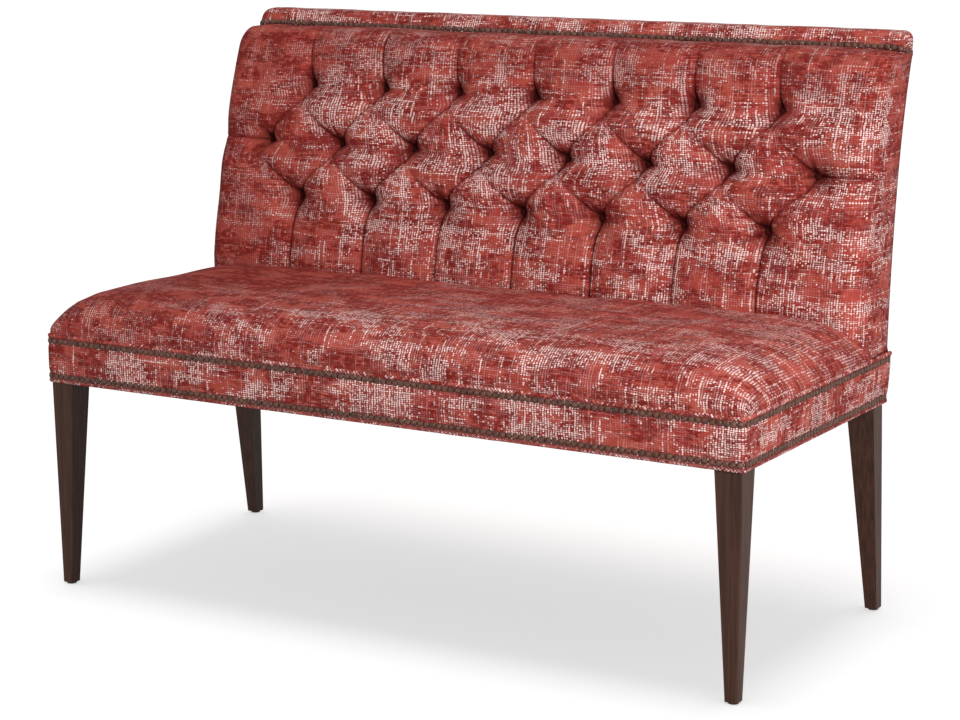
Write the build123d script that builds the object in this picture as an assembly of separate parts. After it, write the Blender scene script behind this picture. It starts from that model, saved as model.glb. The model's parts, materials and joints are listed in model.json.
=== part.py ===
from build123d import *
import math
import os

"""Straight two-seat banquette with a tufted back, a tight seat and four tapered legs.

Millimetres, +Z up. The front faces -Y and +X is to the right as seen from the front. The origin
is on the floor, in the middle of the outline. The rear surface of the back is a pair of tangent
arcs, and every layer of the back is an offset of that surface.
"""

# Overall sizes
seat_width = 1330.0
seat_depth = 578.0
border_bottom = 367.0
border_top = 450.5
crown_height = 76.5

# Back curve: rake and radius of the lower arc, then the upper arc that leans away
base_rake = 4.5
bend_rake = 10.5
lower_radius = 2712.0
upper_radius = 1250.0

# Layers of the back, from the outside back forwards
outside_cover_thickness = 2.0
outside_board_thickness = 3.0
frame_thickness = 30.0
back_panel_thickness = 5.0
rail_cover_thickness = 3.0
rail_end_cover_thickness = 4.0
pad_sheet_thickness = 8.0
valley_offset_base = 97.0
valley_offset_top = 78.0

# Width of the back: how far its foot stands in from the seat's side, and how far it narrows upwards
back_set_in = 6.5
back_narrowing = 7.5
rail_corner_radius = 16.0

# Tufting: a 7-8-7 diamond layout
outer_tuft_inset = 110.05
tufts_long_row = 8
top_row_rise = 101.5
middle_row_rise = 95.3
bottom_row_rise = 120.5
pillow_bulge = 37.0
pleat_gap = 0.8
pleat_embed = 4.0
tuft_width = 9.0
tuft_bulge = 1.5
side_roll = 36.0
top_roll = 32.0
pad_rise = 100.7
rail_rise = 32.0
seat_dip = 1.0

# Buttons, ties and the toggles that hold the ties behind the panel
button_diameter = 15.0
button_thickness = 5.0
button_taper = 25.0
pocket_flare = 8.0
tie_diameter = 2.0
tie_hole_diameter = 5.0
toggle_length = 24.0
toggle_width = 8.0
toggle_thickness = 4.0

# Seat rails and their tenons
rail_thickness = 25.0
tenon_thickness = 12.0
tenon_length = 20.0
tenon_shoulder = 10.0
dust_cover_thickness = 1.5
border_lip_drop = 3.0
brace_height = 45.0
brace_width = 40.0

# Legs
leg_top = 47.0
leg_foot = 21.3
front_leg_foot_inset = 4.8
rear_leg_depth_top = 38.0
rear_leg_rake = 34.0
post_width = 41.0
post_step = 8.0
leg_edge = 1.5
glide_thickness = 3.0
glide_diameter = 17.0

# Corner blocks and their screws
block_arm = 78.0
block_height = 34.0
screw_diameter = 5.0
screw_head_diameter = 9.0
screw_head_height = 3.0
screw_length = 34.0
screw_inset = 20.0

# Webbing
strap_width = 50.0
strap_thickness = 2.0
long_straps = 9
cross_straps = 5
strap_play = 0.3
strap_landing = 18.0

# Seat layers
burlap_thickness = 1.5
seat_cover_thickness = 4.0
crown_shoulder = 62.0
crown_corner = 14.0
seat_gap = 0.5

# Border band, its rolled edges and the nail rows
border_thickness = 4.0
border_roll_radius = 2.4
border_roll_proud = 1.4
border_corner_radius = 9.0
nail_diameter = 11.1
nail_pitch = 11.64
nail_proud = 2.4
nail_sides = 5
bead_sides = 6
tie_sides = 4
screw_sides = 6
round_sides = 8
upper_nail_drop = 10.8
lower_nail_rise = 11.2
rail_nail_rise = 7.0

# Clearances
soft_clearance = 0.3
joint_clearance = 0.2
overrun = 12.0
flatness = 0.00001
half_turn = 180.0
soft_chords = 4

# Shares of the sizes that they follow
crown_station_shares = (1.0, 0.985, 0.962, 0.917, 0.827, 0.0)
crown_height_shares = (0.22, 0.44, 0.66, 0.86, 0.97, 1.0)
crown_corner_shares = (1.0, 0.35, 0.1, 0.0, 0.0, 0.0)
crown_edge_share = 0.34
crown_knee_share = 0.2
crown_knee_height_share = 0.78
crown_shoulder_share = 0.95
crown_middle_share = 0.5
crown_rear_share = 0.91
rise_shares = (0.0, 0.15, 0.5, 0.85, 1.0)
rise_bulge_shares = (0.0, 0.36, 0.78, 0.97, 1.0)
side_bulge_shares = (0.5, 0.85, 1.0, 1.0, 1.0)
side_depth_shares = (0.5, 0.64, 0.72, 0.88, 1.0)
roll_shares = (0.0, 0.5, 0.8, 0.95, 1.0)
roll_depth_shares = (0.5, 0.4, 0.28, 0.18, 0.1)
lower_depth_shares = (0.6, 0.5, 0.5)
side_knee_share = 0.22
knee_share = 0.7071
roll_depth_share = 0.8
rear_end_slant_share = 0.21
stile_share = 1.25

os.makedirs("parts", exist_ok=True)


def write(name, shape):
    """Write one node to its own file."""
    export_step(shape, "parts/" + name + ".step")


# Derived widths and tuft spacing, from the seat's width
half_width = seat_width / 2
back_half_base = half_width - back_set_in
back_half_top = back_half_base - back_narrowing
tuft_pitch = 2 * (back_half_base - outer_tuft_inset) / (tufts_long_row - 1)

# Derived levels, from the floor up
lower_nail_height = border_bottom + lower_nail_rise
upper_nail_height = border_top - upper_nail_drop
seat_touch_height = border_top + crown_height - seat_dip
bottom_row_height = seat_touch_height + bottom_row_rise
middle_row_height = bottom_row_height + middle_row_rise
top_row_height = middle_row_height + top_row_rise
pad_top = top_row_height + pad_rise
back_top = pad_top + rail_rise
rail_nail_height = pad_top + rail_nail_rise
border_inner = half_width - border_thickness
frame_half = border_inner - soft_clearance
frame_front = border_thickness + soft_clearance
dust_bottom = border_bottom + border_lip_drop
rail_bottom = dust_bottom + dust_cover_thickness
web_stack = 2 * strap_thickness + strap_play
rail_top = border_top - burlap_thickness - web_stack - soft_clearance
rail_height = rail_top - rail_bottom
burlap_bottom = rail_top + web_stack + joint_clearance
burlap_top = burlap_bottom + burlap_thickness
frame_top = back_top - rail_cover_thickness
pad_bottom = burlap_top + soft_clearance

# Offsets of the layers of the back from its rear surface
board_front = outside_cover_thickness + outside_board_thickness
frame_front_offset = board_front + frame_thickness
panel_front = frame_front_offset + back_panel_thickness
rail_cover_front = frame_front_offset + rail_cover_thickness

# Centres of the two tangent arcs, with y measured from the front of the border
base_angle = math.radians(base_rake)
bend_angle = math.radians(bend_rake)
lower_centre_y = seat_depth + lower_radius * math.cos(base_angle)
lower_centre_z = border_top - lower_radius * math.sin(base_angle)
upper_centre_y = lower_centre_y - (lower_radius - upper_radius) * math.cos(bend_angle)
upper_centre_z = lower_centre_z + (lower_radius - upper_radius) * math.sin(bend_angle)


def curve_arc(offset, z):
    """Radius and centre of the arc that holds height z on the layer at this offset."""
    bend_z = lower_centre_z + (lower_radius + offset) * math.sin(bend_angle)
    if z < bend_z:
        return lower_radius + offset, lower_centre_y, lower_centre_z
    return upper_radius + offset, upper_centre_y, upper_centre_z


def back_y(offset, z):
    """Depth of the layer at this offset in front of the rear surface, at height z."""
    radius, centre_y, centre_z = curve_arc(offset, z)
    return centre_y - math.sqrt(radius ** 2 - (z - centre_z) ** 2)


overall_depth = back_y(0, back_top) + nail_proud
shift = Vector(0, nail_proud - overall_depth / 2, 0)


def place(shape):
    """Move a shape from the border's front plane to the origin at the middle of the outline."""
    return Pos(shift.X, shift.Y, shift.Z) * shape


def block(x0, x1, y0, y1, z0, z1):
    """A box between two corners."""
    size = (x1 - x0, y1 - y0, z1 - z0)
    return Pos((x0 + x1) / 2, (y0 + y1) / 2, (z0 + z1) / 2) * Box(*size)


def side_prism(outline, x0, x1):
    """Extrude an outline of the side view, given as edges or points in (y, z), from x0 to x1."""
    face = make_face(outline)
    return Plane.YZ.offset(x0) * extrude(face, amount=x1 - x0)


def curve_edges(offset, z0, z1):
    """The edges of one layer's curve from height z0 to z1, split where the two arcs meet."""
    bend_z = lower_centre_z + (lower_radius + offset) * math.sin(bend_angle)
    levels = [z0, bend_z, z1] if z0 < bend_z < z1 else [z0, z1]
    edges = []
    for low, high in zip(levels, levels[1:]):
        points = [(back_y(offset, z), z) for z in (low, (low + high) / 2, high)]
        edges.append(ThreePointArc(*points))
    return edges


def back_slab(rear_offset, front_offset, z0, z1, x0, x1):
    """A slice of the back between two offsets, two heights and two sides."""
    rear = curve_edges(rear_offset, z0, z1)
    front = curve_edges(front_offset, z0, z1)
    bottom = Line((back_y(front_offset, z0), z0), (back_y(rear_offset, z0), z0))
    top = Line((back_y(front_offset, z1), z1), (back_y(rear_offset, z1), z1))
    return side_prism(rear + front + [bottom, top], x0, x1)


def front_prism(points, y0, y1):
    """Extrude an outline of the front view, given as points in (x, z), from y0 to y1."""
    face = make_face(Polyline(*points, close=True))
    return Plane((0, y1, 0), x_dir=(1, 0, 0), z_dir=(0, -1, 0)) * extrude(face, amount=y1 - y0)


def chords(start, middle, end):
    """The points of a three-point arc, cut into the few chords that a soft form gets."""
    arc = ThreePointArc(start, middle, end)
    return [tuple(arc @ (i / soft_chords))[:2] for i in range(soft_chords + 1)]


def both_sides(shape):
    """A right-hand piece and its mirror image."""
    return shape, mirror(shape, about=Plane.YZ)


def flat_faces(a, b, c, d):
    """One flat face through four corners, or two where the fourth lies off the plane of the others."""
    normal = (b - a).cross(c - a).normalized()
    if abs(normal.dot(d - a)) < flatness:
        return [Face(Wire.make_polygon([a, b, c, d]))]
    return [Face(Wire.make_polygon([a, b, c])), Face(Wire.make_polygon([a, c, d]))]


def skin(sections):
    """A closed solid of flat faces that joins matching corners of each section to the next."""
    faces = [Face(Wire.make_polygon(section)) for section in (sections[0], sections[-1])]
    for low, high in zip(sections, sections[1:]):
        for i in range(len(low)):
            faces += flat_faces(low[i - 1], low[i], high[i], high[i - 1])
    return Solid(Shell(faces))


# Front legs: a square block inside the seat frame, tapered on the inner faces below the border
leg_inner = frame_half - leg_top
leg_rear = frame_front + leg_top
foot_middle_x = frame_half - front_leg_foot_inset - leg_foot / 2
foot_middle_y = frame_front + front_leg_foot_inset + leg_foot / 2
leg_middle_x = frame_half - leg_top / 2
leg_middle_y = frame_front + leg_top / 2
block_corner = border_corner_radius - border_thickness


def square_at(x, y, z, width):
    """The eight corners of a leg's square section with its edges taken off."""
    far = width / 2
    near = far - leg_edge
    half_way = [(near, -far), (far, -near), (far, near), (near, far)]
    corners = half_way + [(-dx, -dy) for dx, dy in half_way]
    return [Vector(x + dx, y + dy, z) for dx, dy in corners]


foot_section = square_at(foot_middle_x, foot_middle_y, glide_thickness, leg_foot)
knee_section = square_at(leg_middle_x, leg_middle_y, border_bottom, leg_top)
front_leg = skin([foot_section, knee_section])
block_section = Rectangle(leg_top, leg_top)
block_section = chamfer(block_section.vertices(), block_corner)
leg_block = extrude(block_section, amount=rail_top - border_bottom)
front_leg += Pos(leg_middle_x, leg_middle_y, border_bottom) * leg_block

# Rear legs run on up as the back posts, sawn to the side view and then to the front view
leg_top_rear_y = back_y(board_front, border_top) - rear_end_slant_share * (border_top - border_bottom)
leg_top_front_y = leg_top_rear_y - rear_leg_depth_top
foot_rear_y = leg_top_rear_y + rear_leg_rake
foot_front_y = foot_rear_y - leg_foot
post_side = [
    Line((foot_front_y, glide_thickness), (foot_rear_y, glide_thickness)),
    Line((foot_rear_y, glide_thickness), (leg_top_rear_y, border_bottom)),
    Line((leg_top_rear_y, border_bottom), (back_y(board_front, border_top), border_top)),
    Line((foot_front_y, glide_thickness), (leg_top_front_y, border_bottom)),
    Line((leg_top_front_y, border_bottom), (leg_top_front_y, rail_top)),
    Line((leg_top_front_y, rail_top), (back_y(frame_front_offset, border_top), border_top)),
    Line((back_y(frame_front_offset, frame_top), frame_top), (back_y(board_front, frame_top), frame_top)),
]
post_side += curve_edges(board_front, border_top, frame_top)
post_side += curve_edges(frame_front_offset, border_top, frame_top)
post_outer_base = frame_half - post_step
post_outer_top = back_half_top - rail_end_cover_thickness
post_inner = post_outer_base - post_width
corner_cut = rail_corner_radius * (1 - knee_share)
post_outline = [
    (foot_middle_x - leg_foot / 2, glide_thickness),
    (foot_middle_x + leg_foot / 2, glide_thickness),
    (frame_half, border_bottom),
    (frame_half, rail_top),
    (post_outer_base, rail_top),
    (post_outer_top, frame_top - rail_corner_radius),
    (post_outer_top - corner_cut, frame_top - corner_cut),
    (post_outer_top - rail_corner_radius, frame_top),
    (post_inner, frame_top),
    (post_inner, border_bottom),
]
post_blank = side_prism(post_side, leg_inner - overrun, frame_half + overrun)
post_solid = post_blank & front_prism(post_outline, leg_top_front_y - overrun, overall_depth + overrun)

# Tenons and mortises: a rail's tongue, and the same tongue grown by the clearance


def tenon(x0, x1, y0, y1, z0, z1, grow=0.0):
    """A rectangular tongue between two corners, grown on every side for its mortise."""
    return block(x0 - grow, x1 + grow, y0 - grow, y1 + grow, z0 - grow, z1 + grow)


tenon_z0 = rail_bottom + tenon_shoulder
tenon_z1 = rail_top - tenon_shoulder
cheek = (rail_thickness - tenon_thickness) / 2
front_tenon = (leg_inner - overrun, leg_inner + tenon_length, frame_front + cheek,
               frame_front + cheek + tenon_thickness, tenon_z0, tenon_z1)
side_tenon_x0 = frame_half - rail_thickness + cheek
side_front_tenon = (side_tenon_x0, side_tenon_x0 + tenon_thickness, leg_rear - tenon_length,
                    leg_rear + overrun, tenon_z0, tenon_z1)
side_rear_tenon = (side_tenon_x0, side_tenon_x0 + tenon_thickness, leg_top_front_y - overrun,
                   leg_top_front_y + tenon_length, tenon_z0, tenon_z1)
rear_rail_front = leg_top_rear_y - rail_thickness
rear_tenon = (post_inner - overrun, post_inner + tenon_length, rear_rail_front + cheek,
              rear_rail_front + cheek + tenon_thickness, tenon_z0, tenon_z1)

front_leg_cut = front_leg - tenon(*front_tenon, grow=joint_clearance)
front_leg_cut -= tenon(*side_front_tenon, grow=joint_clearance)
post_cut = post_solid - tenon(*side_rear_tenon, grow=joint_clearance)
post_cut -= tenon(*rear_tenon, grow=joint_clearance)

# Rails of the back, tenoned into the posts
back_rail_height = 3 * tenon_length
bottom_rail_z0 = burlap_top + tenon_length
bottom_rail_z1 = bottom_rail_z0 + back_rail_height
top_rail_z0 = frame_top - back_rail_height
tenon_rear = board_front + (frame_thickness - tenon_thickness) / 2
tenon_front = tenon_rear + tenon_thickness


def back_rail(z0, z1):
    """A curved cross rail of the back with a tongue at each end."""
    body = back_slab(board_front, frame_front_offset, z0, z1, -post_inner, post_inner)
    reach = post_inner + tenon_length
    tongue = back_slab(tenon_rear, tenon_front, z0 + tenon_shoulder, z1 - tenon_shoulder, -reach, reach)
    return body + tongue


def back_rail_mortise(z0, z1):
    """The slot that takes the tongue of a back rail in the right-hand post."""
    low = z0 + tenon_shoulder - joint_clearance
    high = z1 - tenon_shoulder + joint_clearance
    reach = post_inner + tenon_length + joint_clearance
    return back_slab(tenon_rear - joint_clearance, tenon_front + joint_clearance, low, high,
                     post_inner - overrun, reach)


post_cut -= back_rail_mortise(bottom_rail_z0, bottom_rail_z1)
post_cut -= back_rail_mortise(top_rail_z0, frame_top)
stile_z0 = bottom_rail_z1 - tenon_length
stile_z1 = top_rail_z0 + tenon_length
stile_x0 = tuft_pitch * stile_share - post_width / 2
stile_x1 = stile_x0 + post_width
back_stile = back_slab(board_front, frame_front_offset, bottom_rail_z1, top_rail_z0, stile_x0, stile_x1)
back_stile += back_slab(tenon_rear, tenon_front, stile_z0, stile_z1, stile_x0 + tenon_shoulder,
                        stile_x1 - tenon_shoulder)
slot_x0 = stile_x0 + tenon_shoulder - joint_clearance
slot_x1 = stile_x1 - tenon_shoulder + joint_clearance
stile_slot = back_slab(tenon_rear - joint_clearance, tenon_front + joint_clearance,
                       stile_z0 - joint_clearance, stile_z1 + joint_clearance, slot_x0, slot_x1)
back_top_rail = back_rail(top_rail_z0, frame_top)
back_bottom_rail = back_rail(bottom_rail_z0, bottom_rail_z1)
for slot in both_sides(stile_slot):
    back_top_rail -= slot
    back_bottom_rail -= slot

for side, leg, post in zip(("right", "left"), both_sides(front_leg_cut), both_sides(post_cut)):
    write("front_leg_" + side, place(leg))
    write("rear_leg_post_" + side, place(post))
for side, stile in zip(("right", "left"), both_sides(back_stile)):
    write("back_stile_" + side, place(stile))
write("back_top_rail", place(back_top_rail))
write("back_bottom_rail", place(back_bottom_rail))

# Seat rails
front_rail = block(-leg_inner, leg_inner, frame_front, frame_front + rail_thickness, rail_bottom, rail_top)
front_rail += tenon(*front_tenon) + mirror(tenon(*front_tenon), about=Plane.YZ)
rear_rail = block(-post_inner, post_inner, rear_rail_front, rear_rail_front + rail_thickness,
                  rail_bottom, rail_top)
rear_rail += tenon(*rear_tenon) + mirror(tenon(*rear_tenon), about=Plane.YZ)
side_rail = block(frame_half - rail_thickness, frame_half, leg_rear, leg_top_front_y, rail_bottom, rail_top)
side_rail += tenon(*side_front_tenon) + tenon(*side_rear_tenon)

# The middle brace is housed between the front and rear rails
brace_front = frame_front + rail_thickness - tenon_shoulder
brace_rear = rear_rail_front + tenon_shoulder
brace = block(-brace_width / 2, brace_width / 2, brace_front, brace_rear, rail_bottom,
              rail_bottom + brace_height)
housing_half = brace_width / 2 + joint_clearance
housing = block(-housing_half, housing_half, brace_front - joint_clearance, brace_rear + joint_clearance,
                rail_bottom - overrun, rail_bottom + brace_height + joint_clearance)

# Corner blocks fill the inner corners round the legs and are screwed to both rails
block_z0 = rail_bottom + (rail_height - block_height) / 2
block_middle_z = block_z0 + block_height / 2
corner_x = frame_half - rail_thickness
front_corner_y = frame_front + rail_thickness
rear_corner_y = rear_rail_front
screw_seat = screw_length / 2


def corner_block(corner_y, way, leg):
    """A three-cornered block against two rails, cut round the leg; way is +1 towards the rear."""
    points = [(corner_x, corner_y), (corner_x - block_arm, corner_y), (corner_x, corner_y + way * block_arm)]
    face = make_face(Polyline(*points, close=True))
    return Pos(0, 0, block_z0) * extrude(face, amount=block_height) - leg


def screw(tip, way):
    """A wood screw that runs from its tip towards its head in the given direction."""
    shank_plane = Plane(tip, z_dir=way)
    shank = extrude(shank_plane * RegularPolygon(screw_diameter / 2, screw_sides), amount=screw_length)
    head_plane = shank_plane.offset(screw_length)
    head_outline = head_plane * RegularPolygon(screw_head_diameter / 2, screw_sides)
    return shank + extrude(head_outline, amount=screw_head_height)


def screw_hole(tip, way):
    """The bore of a screw, with room for its head behind."""
    bore_plane = Plane(tip, z_dir=way).offset(-joint_clearance)
    bore_outline = RegularPolygon(screw_diameter / 2 + joint_clearance, screw_sides)
    bore = extrude(bore_plane * bore_outline, amount=screw_length)
    head_plane = Plane(tip, z_dir=way).offset(screw_length - joint_clearance)
    head_outline = RegularPolygon(screw_head_diameter / 2 + joint_clearance, screw_sides)
    return bore + extrude(head_plane * head_outline, amount=block_arm)


arm_middle = block_arm - screw_inset
front_screws = [
    ((corner_x - arm_middle, front_corner_y - screw_seat, block_middle_z), (0, 1, 0)),
    ((corner_x + screw_seat, front_corner_y + arm_middle, block_middle_z), (-1, 0, 0)),
]
rear_screws = [
    ((corner_x - arm_middle, rear_corner_y + screw_seat, block_middle_z), (0, -1, 0)),
    ((corner_x + screw_seat, rear_corner_y - arm_middle, block_middle_z), (-1, 0, 0)),
]
front_block = corner_block(front_corner_y, 1, front_leg)
rear_block = corner_block(rear_corner_y, -1, post_blank)
screws = []
for tip, way in front_screws + rear_screws:
    hole = screw_hole(tip, way)
    front_block -= hole
    rear_block -= hole
    front_rail -= hole + mirror(hole, about=Plane.YZ)
    rear_rail -= hole + mirror(hole, about=Plane.YZ)
    side_rail -= hole
    screws += both_sides(screw(tip, way))
blocks = list(both_sides(front_block)) + list(both_sides(rear_block))

write("seat_rail_front", place(front_rail - housing))
write("seat_rail_rear", place(rear_rail - housing))
for side, rail in zip(("right", "left"), both_sides(side_rail)):
    write("seat_rail_" + side, place(rail))
write("seat_brace", place(brace))
write("corner_blocks", Compound([place(piece) for piece in blocks]))
write("corner_block_screws", Compound([place(piece) for piece in screws]))

# Webbing: straps from front to rear woven through straps from side to side
strap_rise = (strap_thickness + strap_play) / 2
strap_middle_z = rail_top + web_stack / 2
web_rear = rear_rail_front + strap_landing
web_front = frame_front + rail_thickness - strap_landing
web_half = frame_half - rail_thickness + strap_landing
long_span = 2 * (post_inner - strap_width)
long_xs = [long_span * (i / (long_straps - 1) - 0.5) for i in range(long_straps)]
cross_front = leg_rear + strap_width / 2
cross_rear = leg_top_front_y - strap_width
cross_ys = [cross_front + (cross_rear - cross_front) * i / (cross_straps - 1) for i in range(cross_straps)]


def woven_strap(start, end, crossings, first_way, plane):
    """A flat strap whose middle line passes over and under the crossings in turn."""
    line = [(start, -first_way * strap_rise)]
    for index, place_along in enumerate(crossings):
        rise = first_way * strap_rise * (-1) ** index
        line.append((place_along - strap_width / 2, rise))
        line.append((place_along + strap_width / 2, rise))
    line.append((end, -line[-1][1]))
    upper = [(along, height + strap_thickness / 2) for along, height in line]
    lower = [(along, height - strap_thickness / 2) for along, height in reversed(line)]
    face = make_face(Polyline(*upper, *lower, close=True))
    return plane * extrude(face, amount=strap_width / 2, both=True)


long_webbing = []
for index, x in enumerate(long_xs):
    strap_plane = Plane((x, 0, strap_middle_z), x_dir=(0, 1, 0), z_dir=(1, 0, 0))
    long_webbing.append(woven_strap(web_front, web_rear, cross_ys, (-1) ** index, strap_plane))
cross_webbing = []
for index, y in enumerate(cross_ys):
    strap_plane = Plane((0, y, strap_middle_z), x_dir=(1, 0, 0), z_dir=(0, -1, 0))
    cross_webbing.append(woven_strap(-web_half, web_half, long_xs, -(-1) ** index, strap_plane))
write("seat_webbing_long", Compound([place(strap) for strap in long_webbing]))
write("seat_webbing_cross", Compound([place(strap) for strap in cross_webbing]))

# Burlap over the webbing, cut short of the posts
burlap = block(-web_half, web_half, web_front, leg_top_front_y - soft_clearance, burlap_bottom, burlap_top)
write("seat_burlap", place(burlap))

# Dust cover under the rails, cut round the legs
dust_half = frame_half - joint_clearance
dust_rear = rear_rail_front + rail_thickness
dust_cover = block(-dust_half, dust_half, frame_front, dust_rear, dust_bottom, rail_bottom)
for leg in both_sides(block(leg_inner - soft_clearance, frame_half, frame_front - overrun,
                            leg_rear + soft_clearance, border_bottom, rail_top)):
    dust_cover -= leg
for post in both_sides(block(post_inner - soft_clearance, frame_half, leg_top_front_y - soft_clearance,
                             overall_depth, border_bottom, rail_top)):
    dust_cover -= post
write("dust_cover", place(dust_cover))

# Tuft line: the floor of the tufting, which comes nearer to the frame towards the top


def valley_offset(z):
    """Offset of the tuft line from the rear surface at height z."""
    share = (z - border_top) / (pad_top - border_top)
    return valley_offset_base + (valley_offset_top - valley_offset_base) * share


def roll_back(z, radius):
    """How far the rounded top edge falls back at height z, for a top edge of this radius."""
    rise = max(0.0, z - (pad_top - radius))
    return radius - math.sqrt(max(radius ** 2 - rise ** 2, 0.0))


def valley_y(z):
    """Depth of the tuft line at height z; below the seat's touching height it stands upright."""
    level = max(z, seat_touch_height)
    return back_y(valley_offset(level), level)


def back_half(z):
    """Half width of the padded back at height z."""
    share = (z - border_top) / (back_top - border_top)
    return back_half_base + (back_half_top - back_half_base) * share


# Seat crown: sections in the side view, lofted from one side to the other
pad_crest_y = valley_y(seat_touch_height) - pillow_bulge
crown_rear_y = pad_crest_y + side_roll


def crown_section(x, height, front, floor_z):
    """One side-view section of the crowned seat: upright edge, rounded shoulder and long top."""
    edge_z = seat_base_z + height * crown_edge_share
    knee = (front + crown_shoulder * crown_knee_share, seat_base_z + height * crown_knee_height_share)
    shoulder = (front + crown_shoulder, seat_base_z + height * crown_shoulder_share)
    middle = ((shoulder[0] + crown_rear_y) * crown_middle_share, seat_base_z + height)
    rear = (crown_rear_y, seat_base_z + height * crown_rear_share)
    points = [(front, floor_z)] + chords((front, edge_z), knee, shoulder)
    points += chords(shoulder, middle, rear)[1:] + [(crown_rear_y, floor_z)]
    return [Vector(x, y, z) for y, z in points]


def crown_form(inset, floor_z):
    """The crowned seat down to a floor, drawn in at the front, sides and top by the inset."""
    half = half_width - inset
    stations = []
    for station, height, corner in zip(crown_station_shares, crown_height_shares, crown_corner_shares):
        stations.append((station * half, height * crown_height - inset, inset + corner * crown_corner))
    sections = [crown_section(-x, height, front, floor_z) for x, height, front in stations]
    sections += [crown_section(x, height, front, floor_z) for x, height, front in reversed(stations[:-1])]
    return skin(sections)


def back_foot(side_room):
    """The foot of the padded back with its rounded front corners, which the seat is cut round."""
    half = back_half_base + side_room
    front = pad_crest_y - seat_gap
    corners = [(-half, front), (half, front), (half, overall_depth), (-half, overall_depth)]
    face = make_face(Polyline(*corners, close=True))
    front_corners = face.vertices().sort_by(Axis.Y)[:2]
    foot = extrude(fillet(front_corners, side_roll), amount=2 * crown_height)
    return Pos(0, 0, burlap_top - overrun) * foot


seat_base_z = border_top + soft_clearance
seat_cover = crown_form(0.0, seat_base_z) - crown_form(seat_cover_thickness, burlap_top - overrun)
seat_cover -= back_foot(soft_clearance)
seat_foam = crown_form(seat_cover_thickness + soft_clearance, burlap_top)
seat_foam -= back_foot(half_width - back_half_base)
write("seat_cover", place(seat_cover))
write("seat_foam", place(seat_foam))

# Border band round the front and sides, with a rolled edge above and below
border_side_y = seat_depth


def border_path(outset):
    """The plan of the band from one rear end round the front to the other."""
    half = half_width + outset
    radius = border_corner_radius + outset
    knee = radius * (1 - knee_share)
    return [
        Line((-half, border_side_y), (-half, radius - outset)),
        ThreePointArc((-half, radius - outset), (knee - half, knee - outset), (radius - half, -outset)),
        Line((radius - half, -outset), (half - radius, -outset)),
        ThreePointArc((half - radius, -outset), (half - knee, knee - outset), (half, radius - outset)),
        Line((half, radius - outset), (half, border_side_y)),
    ]


def band(outset, thickness, z0, z1):
    """A strip of the given thickness that follows the plan between two heights."""
    outer = border_path(outset)
    inner = border_path(outset - thickness)
    ends = [Line(outer[0] @ 0, inner[0] @ 0), Line(outer[-1] @ 1, inner[-1] @ 1)]
    face = make_face(outer + inner + ends)
    return Pos(0, 0, z0) * extrude(face, amount=z1 - z0)


def rolled_edge(z):
    """The folded edge of the band: a rounded bead along the plan at height z."""
    bead_plane = Plane((-half_width, border_side_y, z), x_dir=(1, 0, 0), z_dir=(0, -1, 0))
    bead = Pos(border_roll_radius - border_roll_proud, 0) * RegularPolygon(border_roll_radius, bead_sides)
    return sweep(bead_plane * bead, path=Wire(border_path(0)), transition=Transition.ROUND)


slant_foot_y = seat_depth - rear_end_slant_share * (border_top - border_bottom)
rear_wedge = Polyline((slant_foot_y, border_bottom), (seat_depth, border_top), (overall_depth, border_top),
                      (overall_depth, border_bottom), close=True)
border = band(0.0, border_thickness, border_bottom, border_top)
border += rolled_edge(border_bottom + border_roll_radius)
border += rolled_edge(border_top - border_roll_radius)
border -= side_prism(rear_wedge, -seat_width, seat_width)
write("seat_border", place(border))

# Nail heads, each a low faceted dome with its axis square to the cloth


def nail_head(origin, out, across):
    """One nail head on a surface point, facing out, with its flats towards its neighbours."""
    plane = Plane(origin, x_dir=across, z_dir=out)
    base = RegularPolygon(nail_diameter / 2, nail_sides, rotation=half_turn / nail_sides)
    return plane * loft([base, Vertex(0, 0, nail_proud)])


def border_nails(z):
    """The row of nails round the border at height z."""
    path = Wire(border_path(0.0))
    rear_y = seat_depth - rear_end_slant_share * (border_top - z) - nail_diameter
    skipped = (seat_depth - rear_y) / path.length
    count = round(path.length * (1 - 2 * skipped) / nail_pitch)
    nails = []
    for i in range(count + 1):
        along = skipped + (1 - 2 * skipped) * i / count
        spot = path.position_at(along)
        run = path.tangent_at(along)
        nails.append(nail_head((spot.X, spot.Y, z), (run.Y, -run.X, 0), (run.X, run.Y, 0)))
    return nails


write("seat_nails_upper", Compound([place(nail) for nail in border_nails(upper_nail_height)]))
write("seat_nails_lower", Compound([place(nail) for nail in border_nails(lower_nail_height)]))


def back_normal(offset, z):
    """The direction straight out of the back towards the sitter at height z."""
    radius, centre_y, centre_z = curve_arc(offset, z)
    sine = (z - centre_z) / radius
    return (0, -math.sqrt(1 - sine ** 2), sine)


# Trapezoids of the front view that bound the padded back and the frame inside it


def post_outer(z):
    """Half width of the back frame at height z."""
    share = (z - rail_top) / (frame_top - rail_corner_radius - rail_top)
    return post_outer_base + (post_outer_top - post_outer_base) * share


def narrowing(half_at, grow, z0, z1):
    """A prism right through the back whose half width follows a function of the height."""
    low = half_at(z0) + grow
    high = half_at(z1) + grow
    points = [(-low, z0), (low, z0), (high, z1), (-high, z1)]
    return front_prism(points, -overrun, overall_depth + overrun)


# Tufts, row by row
tufts = []
for row_z, count in ((top_row_height, tufts_long_row - 1), (middle_row_height, tufts_long_row),
                     (bottom_row_height, tufts_long_row - 1)):
    tufts += [((i - (count - 1) / 2) * tuft_pitch, row_z) for i in range(count)]


def tuft_plane(x, z):
    """The plane of one tuft, on the tuft line and square to the back."""
    return Plane((x, valley_y(z), z), x_dir=(1, 0, 0), z_dir=back_normal(valley_offset(z), z))


def tie_length(z):
    """Length of the tie at height z, from the tuft line to the toggle behind the panel."""
    return valley_offset(z) - frame_front_offset + joint_clearance


# Pad sheet: the cloth and wadding that lie over the foam, the posts and the top edge
levels = [pad_bottom, seat_touch_height, bottom_row_height, middle_row_height, top_row_height,
          pad_top - top_roll]


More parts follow.
